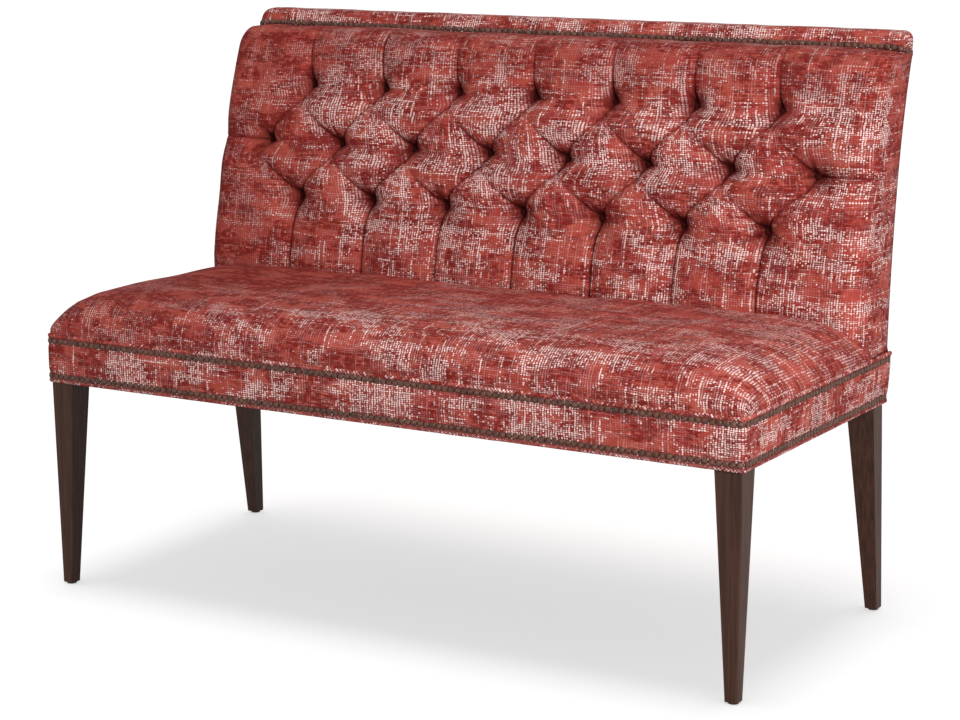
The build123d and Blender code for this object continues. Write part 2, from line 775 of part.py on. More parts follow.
def pad_outline(step_back, top_z, rear_edges, rear_top, rear_bottom):
    """The side view of a pad layer: the tuft line stepped back, the rolled top and a given rear."""
    front = [(valley_y(z) + step_back, z) for z in levels]
    front.append((valley_y(pad_top) + step_back + top_roll * roll_depth_share, top_z))
    edges = [Line(a, b) for a, b in zip(front, front[1:])]
    edges.append(Line(front[-1], rear_top))
    edges.append(Line(rear_bottom, front[0]))
    return edges + rear_edges


def slab_behind(step_back, top_z, rear_offset):
    """A pad layer from its stepped-back front to the layer of the back at an offset."""
    rear_top = (back_y(rear_offset, top_z), top_z)
    rear_bottom = (back_y(rear_offset, pad_bottom), pad_bottom)
    rear = curve_edges(rear_offset, pad_bottom, top_z)
    outline = pad_outline(step_back, top_z, rear, rear_top, rear_bottom)
    return side_prism(outline, -half_width, half_width)


wrap_rear = outside_cover_thickness + soft_clearance
pad = slab_behind(0.0, pad_top, wrap_rear) & narrowing(back_half, 0.0, pad_bottom, pad_top)
pocket_top = pad_top - pad_sheet_thickness
pocket = slab_behind(pad_sheet_thickness, pocket_top, 0.0)
frame_room = back_slab(-overrun, frame_front_offset + soft_clearance, pad_bottom, pad_top,
                       -half_width, half_width)
pad -= (pocket + frame_room) & narrowing(post_outer, soft_clearance, pad_bottom, pad_top)
foam = slab_behind(pad_sheet_thickness + soft_clearance, pocket_top - soft_clearance,
                   panel_front + soft_clearance)
foam &= narrowing(post_outer, 0.0, pad_bottom, pad_top)


def pillow_floor(z):
    """Depth of a pillow's rear face, a little inside the sheet that it grows from."""
    rise = max(0.0, z - (pad_top - top_roll))
    return valley_y(z) + pleat_embed + roll_depth_share * rise


def pillow_section(z, left, right, crest, depth):
    """A level section of one pillow: upright pleat walls and one arc over the crest."""
    x0 = left + pleat_gap / 2
    x1 = right - pleat_gap / 2
    floor = pillow_floor(z)
    points = chords((x0, crest + depth), ((x0 + x1) / 2, crest), (x1, crest + depth))
    points += [(x1, floor), (x0, floor)]
    return [Vector(x, y, z) for x, y in points]


def end_section(z, pleat_x, crest, depth):
    """A level section of the pillow at the right-hand end, which rolls round to the side."""
    x0 = pleat_x + pleat_gap / 2
    outer = back_half(z)
    shoulder = outer - side_roll
    floor = pillow_floor(z)
    drop = floor - pleat_embed - crest
    knee = (shoulder + side_roll * knee_share, crest + drop * (1 - knee_share))
    middle = ((x0 + shoulder) / 2, crest + depth * side_knee_share)
    points = chords((x0, crest + depth), middle, (shoulder, crest))
    points += chords((shoulder, crest), knee, (outer, crest + drop))[1:]
    points += [(outer, floor), (x0, floor)]
    return [Vector(x, y, z) for x, y in points]


def diamond_stations(tuft_z, level_z):
    """Height, width, crest and pleat depth of a pillow; the depth grows with the width."""
    stations = []
    for rise, bulge_share in zip(rise_shares, rise_bulge_shares):
        z = tuft_z + (level_z - tuft_z) * rise
        bulge = max(tuft_bulge, pillow_bulge * bulge_share)
        width = max(tuft_width, tuft_pitch * rise)
        depth = pillow_bulge * (width - pleat_gap) / (tuft_pitch - pleat_gap)
        stations.append((z, width, valley_y(z) - bulge, depth))
    return stations


def upper_stations():
    """Height, crest and pleat depth from the top tuft row over the rolled top edge."""
    stations = []
    roll_start = pad_top - top_roll
    for roll_share, depth_share in zip(roll_shares, roll_depth_shares):
        z = roll_start + top_roll * roll_share
        crest = valley_y(z) - pillow_bulge + roll_back(z, top_roll)
        stations.append((z, crest, pillow_bulge * depth_share))
    return stations


def lower_stations():
    """Height, crest and pleat depth from the bottom tuft row down behind the seat."""
    heights = ((bottom_row_height + seat_touch_height) / 2, seat_touch_height, pad_bottom)
    stations = []
    for z, depth_share in zip(heights, lower_depth_shares):
        stations.append((z, valley_y(z) - pillow_bulge, pillow_bulge * depth_share))
    return stations


def centred(x, stations):
    """Sections of a pillow centred on x, from stations with widths."""
    sections = []
    for z, width, crest, depth in stations:
        sections.append(pillow_section(z, x - width / 2, x + width / 2, crest, depth))
    return sections


def full_pillow(x):
    """A whole diamond between a top tuft and the bottom tuft under it."""
    upper = diamond_stations(top_row_height, middle_row_height)
    lower = diamond_stations(bottom_row_height, middle_row_height)
    return skin(centred(x, upper) + centred(x, lower[-2::-1]))


def open_pillow(x, level_z, further):
    """A pillow that starts at a middle tuft, widens to a level and runs on at full width."""
    stations = diamond_stations(middle_row_height, level_z)
    stations += [(z, tuft_pitch, crest, depth) for z, crest, depth in further]
    return skin(centred(x, stations))


def end_pillow(way, level_z, further):
    """The right-hand end pillow above (way +1) or below (way -1) the side pleat."""
    middle_x = (tufts_long_row - 1) / 2 * tuft_pitch
    level_x = middle_x - tuft_pitch / 2
    start_z = middle_row_height + way * pleat_gap / 2
    sections = []
    for rise, bulge_share, depth_share in zip(rise_shares, side_bulge_shares, side_depth_shares):
        z = start_z + (level_z - start_z) * rise
        crest = valley_y(z) - pillow_bulge * bulge_share
        pleat_x = middle_x + (level_x - middle_x) * rise
        sections.append(end_section(z, pleat_x, crest, pillow_bulge * depth_share))
    sections += [end_section(z, level_x, crest, depth) for z, crest, depth in further]
    return skin(sections)


pillows = [full_pillow(x) for x, z in tufts if z == top_row_height]
for x in [x for x, z in tufts if z == middle_row_height][1:-1]:
    pillows.append(open_pillow(x, top_row_height, upper_stations()))
    pillows.append(open_pillow(x, bottom_row_height, lower_stations()))
pillows += both_sides(end_pillow(1, top_row_height, upper_stations()))
pillows += both_sides(end_pillow(-1, bottom_row_height, lower_stations()))
pad = pad.fuse(*pillows)

# Each tuft has a flared pocket for its button and a bore for its tie
panel_half = post_outer_top - tenon_shoulder
panel = back_slab(frame_front_offset, panel_front, bottom_rail_z0, pocket_top - tenon_shoulder,
                  -panel_half, panel_half)
pocket_radius = button_diameter / 2 + 2 * soft_clearance
pockets = []
bores = []
buttons = []
ties = []
toggles = []
for x, z in tufts:
    plane = tuft_plane(x, z)
    pocket_floor = plane.offset(-soft_clearance) * RegularPolygon(pocket_radius, round_sides)
    pockets.append(extrude(pocket_floor, amount=pillow_bulge, taper=-pocket_flare))
    bore_mouth = plane.offset(pleat_embed) * RegularPolygon(tie_hole_diameter / 2, tie_sides)
    bores.append(extrude(bore_mouth, amount=-(tie_length(z) + pleat_embed + overrun)))
    base = plane * RegularPolygon(button_diameter / 2, round_sides)
    buttons.append(extrude(base, amount=button_thickness, taper=button_taper))
    ties.append(extrude(plane * RegularPolygon(tie_diameter / 2, tie_sides), amount=-tie_length(z)))
    toggle_plane = plane.offset(-tie_length(z))
    toggles.append(extrude(toggle_plane * Rectangle(toggle_width, toggle_length), amount=-toggle_thickness))
write("back_pad", place(pad.cut(*pockets, *bores)))
write("back_foam", place(foam.cut(*bores)))
write("back_panel", place(panel.cut(*bores)))
write("tuft_buttons", Compound([place(button) for button in buttons]))
write("tuft_ties", Compound([place(tie) for tie in ties]))
write("tie_toggles", Compound([place(toggle) for toggle in toggles]))

# Top rail cover: a cap over the top rail and the post ends, with rounded upper corners


def capped(half, top_z, radius, z0):
    """A front-view outline with its two upper corners rounded, right through the back."""
    face = make_face(Polyline((-half, z0), (half, z0), (half, top_z), (-half, top_z), close=True))
    corners = face.vertices().sort_by(Axis.Y)[-2:]
    plane = Plane((0, overall_depth + overrun, 0), x_dir=(1, 0, 0), z_dir=(0, -1, 0))
    return plane * extrude(fillet(corners, radius), amount=overall_depth + 2 * overrun)


cap_z0 = pad_top + soft_clearance
cap = back_slab(0.0, rail_cover_front, cap_z0, back_top, -half_width, half_width)
cap &= capped(back_half_top, back_top, rail_corner_radius + rail_cover_thickness, cap_z0)
core = back_slab(board_front - soft_clearance, frame_front_offset + soft_clearance, cap_z0 - overrun,
                 frame_top + soft_clearance, -half_width, half_width)
core &= capped(post_outer_top + soft_clearance, frame_top + soft_clearance, rail_corner_radius,
               cap_z0 - overrun)
write("top_rail_cover", place(cap - core))

rail_nail_y = back_y(rail_cover_front, rail_nail_height)
rail_nail_out = back_normal(rail_cover_front, rail_nail_height)
rail_nail_span = 2 * (back_half_top - rail_corner_radius)
rail_nail_count = round(rail_nail_span / nail_pitch)
rail_nails = []
for i in range(rail_nail_count + 1):
    x = rail_nail_span * (i / rail_nail_count - 0.5)
    rail_nails.append(nail_head((x, rail_nail_y, rail_nail_height), rail_nail_out, (1, 0, 0)))
write("back_nails", Compound([place(nail) for nail in rail_nails]))

# Outside back: a stiff board on the frame and the cloth over it, down to the foot of the border
cover_top = pad_top
board_half = post_outer_top - outside_board_thickness
board = back_slab(outside_cover_thickness, board_front, bottom_rail_z0, cover_top, -board_half, board_half)
write("outside_back_board", place(board))
outside = back_slab(0.0, outside_cover_thickness, border_top, cover_top, -half_width, half_width)
outside &= narrowing(back_half, 0.0, border_top, cover_top)
skirt_inner_top = (seat_depth - outside_cover_thickness, border_top)
skirt_inner_foot = (slant_foot_y - outside_cover_thickness, border_bottom)
skirt = Polyline((slant_foot_y, border_bottom), (seat_depth, border_top), skirt_inner_top,
                 skirt_inner_foot, close=True)
outside += side_prism(skirt, -frame_half, frame_half)
write("outside_back_cover", place(outside))

# Glides under the feet
glides = []
for x, y in ((foot_middle_x, foot_middle_y), (foot_middle_x, (foot_front_y + foot_rear_y) / 2)):
    glide_outline = RegularPolygon(glide_diameter / 2, 2 * round_sides)
    glide = extrude(Pos(x, y, 0) * glide_outline, amount=glide_thickness)
    glides += both_sides(glide)
write("foot_glides", Compound([place(glide) for glide in glides]))
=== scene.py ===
"""Looks of a straight two-seat banquette: tufted back, tight seat, nail-trimmed border, tapered legs.

Metres, +Z up, the front faces -Y. Every cloth piece carries three point attributes: cloth, its place
on the weave in metres, on which the finish is drawn; shade, painted shade that is 1 deep in a tuft or
pleat and also lies on the folds, the buttons, the left ends, the back's top roll and a little on the
seat top; and a share that hides the pale slubs: wear where the seat is pressed down by use, painted
shade towards the left ends, and fewer pale slubs on the back's top roll.
"""

from __future__ import annotations

import json
import logging
import math
from dataclasses import dataclass, field
from enum import Enum

import bpy
import numpy as np
from mathutils import Matrix, Vector


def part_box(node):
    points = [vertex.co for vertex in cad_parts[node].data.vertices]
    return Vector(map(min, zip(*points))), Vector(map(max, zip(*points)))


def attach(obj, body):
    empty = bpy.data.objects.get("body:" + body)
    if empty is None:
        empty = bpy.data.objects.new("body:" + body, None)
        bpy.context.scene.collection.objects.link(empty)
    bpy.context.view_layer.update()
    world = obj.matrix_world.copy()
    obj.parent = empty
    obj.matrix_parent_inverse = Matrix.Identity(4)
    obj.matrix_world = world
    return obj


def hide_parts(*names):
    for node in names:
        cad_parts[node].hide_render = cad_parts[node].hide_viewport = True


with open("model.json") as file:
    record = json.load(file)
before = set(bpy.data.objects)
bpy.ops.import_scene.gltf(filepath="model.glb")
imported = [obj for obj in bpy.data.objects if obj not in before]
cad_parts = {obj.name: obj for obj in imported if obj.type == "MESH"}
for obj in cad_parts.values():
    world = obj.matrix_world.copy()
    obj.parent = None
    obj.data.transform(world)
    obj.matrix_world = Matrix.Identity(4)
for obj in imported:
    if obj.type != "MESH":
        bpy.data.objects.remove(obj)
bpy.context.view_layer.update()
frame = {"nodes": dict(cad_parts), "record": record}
LOG = logging.getLogger("banquette")

# Short names for types that return often. Foot: a place and the direction out of it. Form: points and faces.
Socket = bpy.types.NodeSocket
Material = bpy.types.Material
Piece = bpy.types.Object
Pair = tuple[float, float]
Three = tuple[float, float, float]
Four = tuple[float, float, float, float]
Values = tuple[float, ...]
Foot = tuple[np.ndarray, np.ndarray]
Form = tuple[list[np.ndarray], list[tuple[int, ...]]]


def linear(red: float, green: float, blue: float) -> Four:
    """Turn a colour written from 0 to 255 into the linear colour that a shader takes.

    Args:
        red: Red, 0 to 255.
        green: Green, 0 to 255.
        blue: Blue, 0 to 255.

    Returns:
        The linear colour with an alpha of 1.
    """
    shares = [value / 255 for value in (red, green, blue)]
    toned = [s / 12.92 if s <= 0.04045 else ((s + 0.055) / 1.055) ** 2.4 for s in shares]
    return (*toned, 1.0)


class Space(Enum):
    """Where a finish takes its coordinates from."""

    CLOTH = "cloth"
    SOLID = "solid"


def wired(tree: bpy.types.NodeTree, kind: str, *values: object) -> bpy.types.Node:
    """Add a node to a tree and feed its first inputs, each with a value or another node's output.

    Args:
        tree: Tree of a material or of the world.
        kind: Name of the node's type.
        values: What its inputs take, in their order.

    Returns:
        The node.
    """
    node = tree.nodes.new(kind)
    for socket, value in zip(node.inputs, values):
        if isinstance(value, Socket):
            tree.links.new(value, socket)
        else:
            socket.default_value = value
    return node


class Board:
    """A material's node tree, with short ways to add the nodes that the finishes use."""

    shift_ways: Three = (1.0, 0.7, 1.3)
    octave_gain: float = 0.55

    def __init__(self, name: str, space: Space) -> None:
        """Start an empty material.

        Args:
            name: Name of the material.
            space: Where its coordinates come from.
        """
        self.material = bpy.data.materials.new(name)
        self.material.use_nodes = True
        self.tree = self.material.node_tree
        self.tree.nodes.clear()
        if space is Space.CLOTH:
            self.place = self.attribute("cloth").outputs["Vector"]
        else:
            self.place = self.tree.nodes.new("ShaderNodeTexCoord").outputs["Object"]

    def attribute(self, name: str) -> bpy.types.Node:
        """Read a point attribute of the mesh."""
        node = self.tree.nodes.new("ShaderNodeAttribute")
        node.attribute_name = name
        return node

    def feed(self, socket: Socket, value: object) -> None:
        """Set a socket, or link it if the value is another node's output."""
        if isinstance(value, Socket):
            self.tree.links.new(value, socket)
        else:
            socket.default_value = value

    def stretched(self, scale: Three, shift: float = 0.0) -> Socket:
        """The coordinates multiplied along each axis and moved along Z.

        Args:
            scale: Repeats per metre along each axis.
            shift: Offset that gives each use its own pattern.

        Returns:
            The changed coordinates.
        """
        node = self.tree.nodes.new("ShaderNodeMapping")
        node.inputs["Location"].default_value = [shift * way for way in self.shift_ways]
        node.inputs["Scale"].default_value = scale
        self.tree.links.new(self.place, node.inputs["Vector"])
        return node.outputs[0]

    def noise(self, scale: Three, shift: float = 0.0, detail: float = 1.0, output: str = "Fac") -> Socket:
        """Soft noise with its own repeats along each axis.

        Args:
            scale: Repeats per metre along each axis.
            shift: Offset of the pattern.
            detail: Octaves of finer noise.
            output: Fac for one value, Color for three.

        Returns:
            The noise, about 0.5 in the middle.
        """
        return self.noise_at(self.stretched(scale, shift), detail, output)

    def noise_at(self, vector: Socket, detail: float, output: str = "Fac") -> Socket:
        """Soft noise at given coordinates.

        Args:
            vector: The coordinates.
            detail: Octaves of finer noise.
            output: Fac for one value, Color for three.

        Returns:
            The noise, about 0.5 in the middle.
        """
        node = self.tree.nodes.new("ShaderNodeTexNoise")
        self.tree.links.new(vector, node.inputs["Vector"])
        node.inputs["Scale"].default_value = 1.0
        node.inputs["Detail"].default_value = detail
        node.inputs["Roughness"].default_value = self.octave_gain
        return node.outputs[output]

    def vector(self, operation: str, first: object, second: object = None) -> Socket:
        """One step of arithmetic on coordinates.

        Args:
            operation: Name of the operation.
            first: First vector or socket.
            second: Second vector or socket.

        Returns:
            The changed coordinates.
        """
        node = wired(self.tree, "ShaderNodeVectorMath", first, *(() if second is None else (second,)))
        node.operation = operation
        return node.outputs[0]

    def axes(self, vector: Socket) -> tuple[Socket, Socket]:
        """The first two coordinates of a vector."""
        return tuple(wired(self.tree, "ShaderNodeSeparateXYZ", vector).outputs[:2])

    def pair(self, x: object, y: object, z: float) -> Socket:
        """Coordinates made from two values and a fixed third.

        Args:
            x: First value or socket.
            y: Second value or socket.
            z: The third, a number.

        Returns:
            The coordinates.
        """
        return wired(self.tree, "ShaderNodeCombineXYZ", x, y, z).outputs[0]

    def chance(self, vector: Socket) -> Socket:
        """A random value from 0 to 1 for each whole-numbered place."""
        node = self.tree.nodes.new("ShaderNodeTexWhiteNoise")
        node.noise_dimensions = "3D"
        self.tree.links.new(vector, node.inputs["Vector"])
        return node.outputs["Value"]

    def band(self, value: object, low: float, high: float, top: float = 1.0) -> Socket:
        """A value that rises from 0 to the top between two limits.

        Args:
            value: The value to read.
            low: Where it starts to rise.
            high: Where it reaches the top.
            top: The highest result.

        Returns:
            The clamped result.
        """
        node = self.tree.nodes.new("ShaderNodeMapRange")
        node.interpolation_type = "SMOOTHSTEP"
        self.feed(node.inputs["Value"], value)
        node.inputs["From Min"].default_value = low
        node.inputs["From Max"].default_value = high
        node.inputs["To Max"].default_value = top
        return node.outputs["Result"]

    def calc(self, operation: str, first: object, second: object = 0.0, clamp: bool = True) -> Socket:
        """One step of arithmetic.

        Args:
            operation: Name of the operation.
            first: First value or socket.
            second: Second value or socket.
            clamp: Keep the result from 0 to 1.

        Returns:
            The result.
        """
        node = wired(self.tree, "ShaderNodeMath", first, second)
        node.operation, node.use_clamp = operation, clamp
        return node.outputs[0]

    def times(self, first: object, second: object, clamp: bool = True) -> Socket:
        """The product of two values."""
        return self.calc("MULTIPLY", first, second, clamp)

    def plus(self, first: object, second: object, clamp: bool = True) -> Socket:
        """The sum of two values."""
        return self.calc("ADD", first, second, clamp)

    def minus(self, first: object, second: object, clamp: bool = True) -> Socket:
        """The difference of two values."""
        return self.calc("SUBTRACT", first, second, clamp)

    def line(self, value: object, gain: float, base: float) -> Socket:
        """A value times a gain, on top of a base."""
        return self.plus(self.times(value, gain), base)

    def blend(self, share: object, first: object, second: object) -> Socket:
        """Mix two colours by a share.

        Args:
            share: 0 for the first colour, 1 for the second.
            first: A colour or a node's colour output.
            second: A colour or a node's colour output.

        Returns:
            The mixed colour.
        """
        node = self.tree.nodes.new("ShaderNodeMix")
        node.data_type = "RGBA"
        self.feed(node.inputs["Factor"], share)
        self.feed(node.inputs["A"], first)
        self.feed(node.inputs["B"], second)
        return node.outputs["Result"]

    def close(
        self, colour: object, roughness: object, height: object, relief: float, **sockets: object
    ) -> Material:
        """Finish the tree with a shader and its relief.

        Args:
            colour: Base colour.
            roughness: Roughness of the surface.
            height: Height field for the relief.
            relief: Depth of the relief in metres.
            sockets: Other sockets of the shader, by name with underscores for spaces.

        Returns:
            The finished material.
        """
        shader = self.tree.nodes.new("ShaderNodeBsdfPrincipled")
        self.feed(shader.inputs["Base Color"], colour)
        self.feed(shader.inputs["Roughness"], roughness)
        for name, value in sockets.items():
            shader.inputs[name.replace("_", " ")].default_value = value
        bump = self.tree.nodes.new("ShaderNodeBump")
        bump.inputs["Strength"].default_value = 1.0
        bump.inputs["Distance"].default_value = relief
        self.feed(bump.inputs["Height"], height)
        self.tree.links.new(bump.outputs[0], shader.inputs["Normal"])
        output = self.tree.nodes.new("ShaderNodeOutputMaterial")
        self.tree.links.new(shader.outputs[0], output.inputs["Surface"])
        return self.material


@dataclass(frozen=True)
class Chenille:
    """Slubby plain weave: beaded threads both ways, pale in cloudy patches, over a red ground with deep slubs.

    A thread field holds its repeats across the threads, its repeats along them and a seed. A patch field
    holds its repeats a metre both ways, a shift and the octaves of finer noise; a streak adds its weight.
    A band field holds the limits between which a value rises from 0 to 1, and a share field a gain and a
    base. A pale thread field holds how seldom a thread is pale and how much that adds.
    """

    name: str = "red_chenille"
    ground: Three = (168, 67, 60)
    warm: Three = (184, 83, 69)
    deep: Three = (116, 25, 23)
    gap: Three = (92, 31, 29)
    pale: Three = (253, 221, 215)
    # Colour of the painted shade, laid where the shade attribute is high.
    sunk: Three = (48, 10, 10)
    sheen: Three = (228, 140, 130)
    warp_pitch: float = 0.0047
    weft_pitch: float = 0.0033
    wander: tuple[Four, ...] = ((24.0, 3.0, 2.0, 0.006), (150.0, 8.0, 1.0, 0.003))
    warp_run: Three = (0.61, 0.07, 4.7)
    weft_run: Three = (0.57, 0.09, 9.1)
    run_band: Pair = (0.44, 0.68)
    line_band: Pair = (0.5, 1.0)
    warp_slub: Three = (0.73, 0.2, 6.3)
    weft_slub: Three = (0.71, 0.28, 2.9)
    warp_slub_weight: float = 0.38
    weft_slub_weight: float = 0.62
    slub_band: Pair = (0.37, 0.53)
    slubs_anywhere: float = 0.2
    zone: Four = (15.0, 26.0, 87.0, 4.0)
    zone_band: Pair = (0.42, 0.56)
    cloud: Four = (12.0, 17.0, 41.0, 5.0)
    streaks: tuple[Values, ...] = ((7.0, 70.0, 51.0, 2.0, 0.6), (75.0, 8.0, 63.0, 2.0, 0.4))
    patch_band: Pair = (0.41, 0.66)
    tone: Four = (11.0, 19.0, 13.0, 3.0)
    tone_band: Pair = (0.38, 0.62)
    upright_bands: tuple[Pair, ...] = ((0.48, 0.97), (0.1, 0.65))
    level_bands: tuple[Pair, ...] = ((0.1, 0.65), (0.36, 0.97))
    upright_share: float = 0.6
    reshuffle: float = 91.7
    dash_gain: float = 1.25
    pale_anywhere: float = 0.07
    pale_in_patches: float = 0.7
    pale_warp: Pair = (0.72, 0.6)
    pale_weft: Pair = (0.76, 0.5)
    pale_band: Pair = (0.4, 0.62)
    thread_seed: float = 3.7
    thread_rise: float = 0.1
    lit_band: Pair = (-0.1, 0.5)
    strand_share: Pair = (0.45, 0.15)
    strand_patch_share: Pair = (0.75, 0.38)
    gap_band: Pair = (0.05, 0.6)
    gap_share: Pair = (0.42, 0.2)
    hidden_by_slub: float = 0.25
    hidden_by_wear_and_painted_shade: float = 0.55
    hidden_by_shade: float = 1.6
    deep_share: float = 0.87
    painted_shade_share: float = 0.95
    grit: Four = (600.0, 600.0, 5.5, 1.0)
    grit_height: float = 0.3
    crown_height: float = 0.7
    relief: float = 0.0006
    roughness: float = 0.9

    def patch(self, board: Board, plan: Values) -> Socket:
        """The noise that a patch field describes."""
        return board.noise((plan[0], plan[1], 0.0), plan[2], plan[3])

    def cells(self, board: Board) -> Socket:
        """The place on the weave, counted in threads that sway slowly and shake a little.

        Args:
            board: Nodes of the material.

        Returns:
            The place.
        """
        moved = board.place
        for repeats, shift, detail, reach in self.wander:
            noise = board.noise((repeats, repeats, 0.0), shift, detail, "Color")
            step = board.vector("MULTIPLY", board.vector("SUBTRACT", noise, (0.5, 0.5, 0.5)), (reach, reach, 0.0))
            moved = board.vector("ADD", moved, step)
        return board.vector("MULTIPLY", moved, (1 / self.warp_pitch, 1 / self.weft_pitch, 0.0))

    def runs(self, board: Board, cells: Socket, warp: Three, weft: Three, detail: float) -> tuple[Socket, Socket]:
        """Noise drawn out along each warp thread and along each weft thread.

        Args:
            board: Nodes of the material.
            cells: Place on the weave, counted in threads.
            warp: Thread field of the warp.
            weft: Thread field of the weft.
            detail: Octaves of finer noise.

        Returns:
            A value along the warp threads and one along the weft threads.
        """
        along_x, along_y = board.axes(cells)
        warp_id, weft_id = board.axes(board.vector("FLOOR", cells))
        on_warp = board.times(warp_id, warp[0], False), board.times(along_y, warp[1], False)
        on_weft = board.times(along_x, weft[1], False), board.times(weft_id, weft[0], False)
        warp_noise = board.noise_at(board.pair(*on_warp, warp[2]), detail)
        return warp_noise, board.noise_at(board.pair(*on_weft, weft[2]), detail)

    def dark_share(self, board: Board, cells: Socket) -> Socket:
        """Short deep runs on single threads, most of them on the weft and in their own zones.

        Args:
            board: Nodes of the material.
            cells: Place on the weave, counted in threads.

        Returns:
            A share of 1 on the deep slubs.
        """
        warp, weft = self.runs(board, cells, self.warp_slub, self.weft_slub, 2.0)
        slubs = board.plus(board.times(weft, self.weft_slub_weight), board.times(warp, self.warp_slub_weight))
        zone = board.band(self.patch(board, self.zone), *self.zone_band)
        return board.times(board.band(slubs, *self.slub_band), board.plus(zone, self.slubs_anywhere))

    def pale_threads(self, board: Board, cells: Socket, warp_run: Socket, weft_run: Socket) -> Socket:
        """How much more often slubs show along the few threads that are pale themselves.

        Args:
            board: Nodes of the material.
            cells: Place on the weave, counted in threads.
            warp_run: Slow change along each warp thread.
            weft_run: Slow change along each weft thread.

        Returns:
            A share to add at each place.
        """
        warp, weft = board.axes(board.vector("FLOOR", cells))
        total: object = self.pale_anywhere
        for thread, run, (often, gain) in ((warp, warp_run, self.pale_warp), (weft, weft_run, self.pale_weft)):
            drawn = board.chance(board.pair(thread, 0.0, self.thread_seed + often))
            chosen = board.band(drawn, often, often + self.thread_rise)
            there = board.times(chosen, board.band(run, *self.pale_band))
            total = board.plus(board.times(there, gain), total, False)
        return total

    def patches(self, board: Board) -> Socket:
        """Where the pale slubs gather: cloudy patches, drawn out along both threads.

        Args:
            board: Nodes of the material.

        Returns:
            A share of 1 in the patches.
        """
        cloud = self.patch(board, self.cloud)
        for plan in self.streaks:
            streak = board.minus(self.patch(board, plan), 0.5, False)
            cloud = board.plus(cloud, board.times(streak, plan[4], False))
        return board.band(cloud, *self.patch_band)

    def dashes(self, board: Board, chance: Socket, round_x: Socket, round_y: Socket) -> Socket:
        """The slub of each cell, a short dash that lies along the warp or the weft.

        Args:
            board: Nodes of the material.
            chance: Random value of each cell.
            round_x: Roundness across the warp.
            round_y: Roundness across the weft.

        Returns:
            A value of 1 on the dash.
        """
        upright, level = (
            board.times(board.band(round_x, *across), board.band(round_y, *along))
            for across, along in (self.upright_bands, self.level_bands)
        )
        second_chance = board.calc("FRACT", board.times(chance, self.reshuffle, False))
        turned = board.calc("GREATER_THAN", second_chance, self.upright_share)
        return board.calc("MAXIMUM", board.times(level, turned), board.minus(upright, turned))

    def make(self) -> Material:
        """Build the material.

        Returns:
            The material.
        """
        board = Board(self.name, Space.CLOTH)
        shade, wear_and_painted_shade = (board.attribute(name).outputs["Fac"] for name in ("shade", "wear_and_painted_shade"))
        cells = self.cells(board)
        chance = board.chance(board.vector("FLOOR", cells))
        parts = board.axes(board.vector("FRACTION", cells))
        round_x, round_y = (board.calc("SINE", board.times(part, math.pi, False)) for part in parts)
        crown = board.times(round_x, round_y)
        patches = self.patches(board)
        dark_share = self.dark_share(board, cells)

        runs = self.runs(board, cells, self.warp_run, self.weft_run, 1.0)
        warp_line, weft_line = (
            board.times(board.band(run, *self.run_band), board.band(across, *self.line_band))
            for run, across in zip(runs, (round_x, round_y))
        )
        strands = board.times(board.calc("MAXIMUM", warp_line, weft_line), board.line(crown, *self.strand_share))
        strands = board.times(strands, board.line(patches, *self.strand_patch_share))

        in_patches = board.times(patches, self.pale_in_patches, False)
        want = board.plus(in_patches, self.pale_threads(board, cells, *runs))
        lit = board.band(board.minus(want, chance, False), *self.lit_band)
        dash = board.times(self.dashes(board, chance, round_x, round_y), self.dash_gain)
        pale_share = board.plus(board.times(lit, dash), strands)
        # Deep slubs, wear and painted shade hide the pale slubs; towards the left ends the hiding share is
        # painted shade.
        kept: object = 1.0
        hiding = ((dark_share, self.hidden_by_slub), (wear_and_painted_shade, self.hidden_by_wear_and_painted_shade), (shade, self.hidden_by_shade))
        for value, share in hiding:
            kept = board.minus(kept, board.times(value, share))

        hollow = board.minus(1.0, board.band(crown, *self.gap_band))
        layers = (
            (board.times(dark_share, self.deep_share), self.deep),
            (board.times(hollow, board.line(patches, *self.gap_share)), self.gap),
            (board.times(pale_share, kept), self.pale),
            # Painted shade: the sunk colour, laid in tufts, pleats, folds, on the buttons and towards the left
            # ends.
            (board.times(shade, self.painted_shade_share), self.sunk),
        )
        tone = board.band(self.patch(board, self.tone), *self.tone_band)
        colour = board.blend(tone, linear(*self.ground), linear(*self.warm))
        for share, tint in layers:
            colour = board.blend(share, colour, linear(*tint))
        grit = board.times(self.patch(board, self.grit), self.grit_height)
        return board.close(
            colour,
            self.roughness,
            board.plus(board.times(crown, self.crown_height), grit),
            self.relief,
            Sheen_Weight=0.04,
            Sheen_Roughness=0.5,
            Sheen_Tint=linear(*self.sheen),
            Specular_IOR_Level=0.06,
        )


@dataclass(frozen=True)
class Grained:
    """A solid stuff with a grain: wood, board, foam, jute, plastic or cloth seen from below."""

    name: str
    light: Three
    dark: Three
    grain: Three
    roughness: float = 0.6
    relief: float = 0.0002
    low: float = 0.35
    high: float = 0.7
    specular: float = 0.5
    metallic: float = 0.0
    # Painted shade at the foot of a nail head: how far the colour falls to its tint where the shade attribute is
    # high.
    rim_painted_shade: float = 0.0
    rim_painted_shade_tint: Three = (16, 11, 9)
    drift_repeats: Three = (6.0, 6.0, 6.0)
    drift_share: float = 0.25
    rough_change: float = 0.16

    def make(self) -> Material:
        """Build the material.

        Returns:
            The material.
        """
        board = Board(self.name, Space.SOLID)
        grain = board.noise(self.grain, 7.0, 4.0)
        drift = board.noise(self.drift_repeats, 19.0, 2.0)
        grained = board.band(grain, self.low, self.high, 1 - self.drift_share)
        share = board.plus(grained, board.times(drift, self.drift_share))
        colour = board.blend(share, linear(*self.light), linear(*self.dark))
        # Painted shade round the foot of each nail head.
        if self.rim_painted_shade:
            edge = board.times(board.attribute("shade").outputs["Fac"], self.rim_painted_shade)
            colour = board.blend(edge, colour, linear(*self.rim_painted_shade_tint))
        rough = board.line(grain, self.rough_change, self.roughness - self.rough_change / 2)
        shine = {"Metallic": self.metallic, "Specular_IOR_Level": self.specular}
        return board.close(colour, rough, grain, self.relief, **shine)


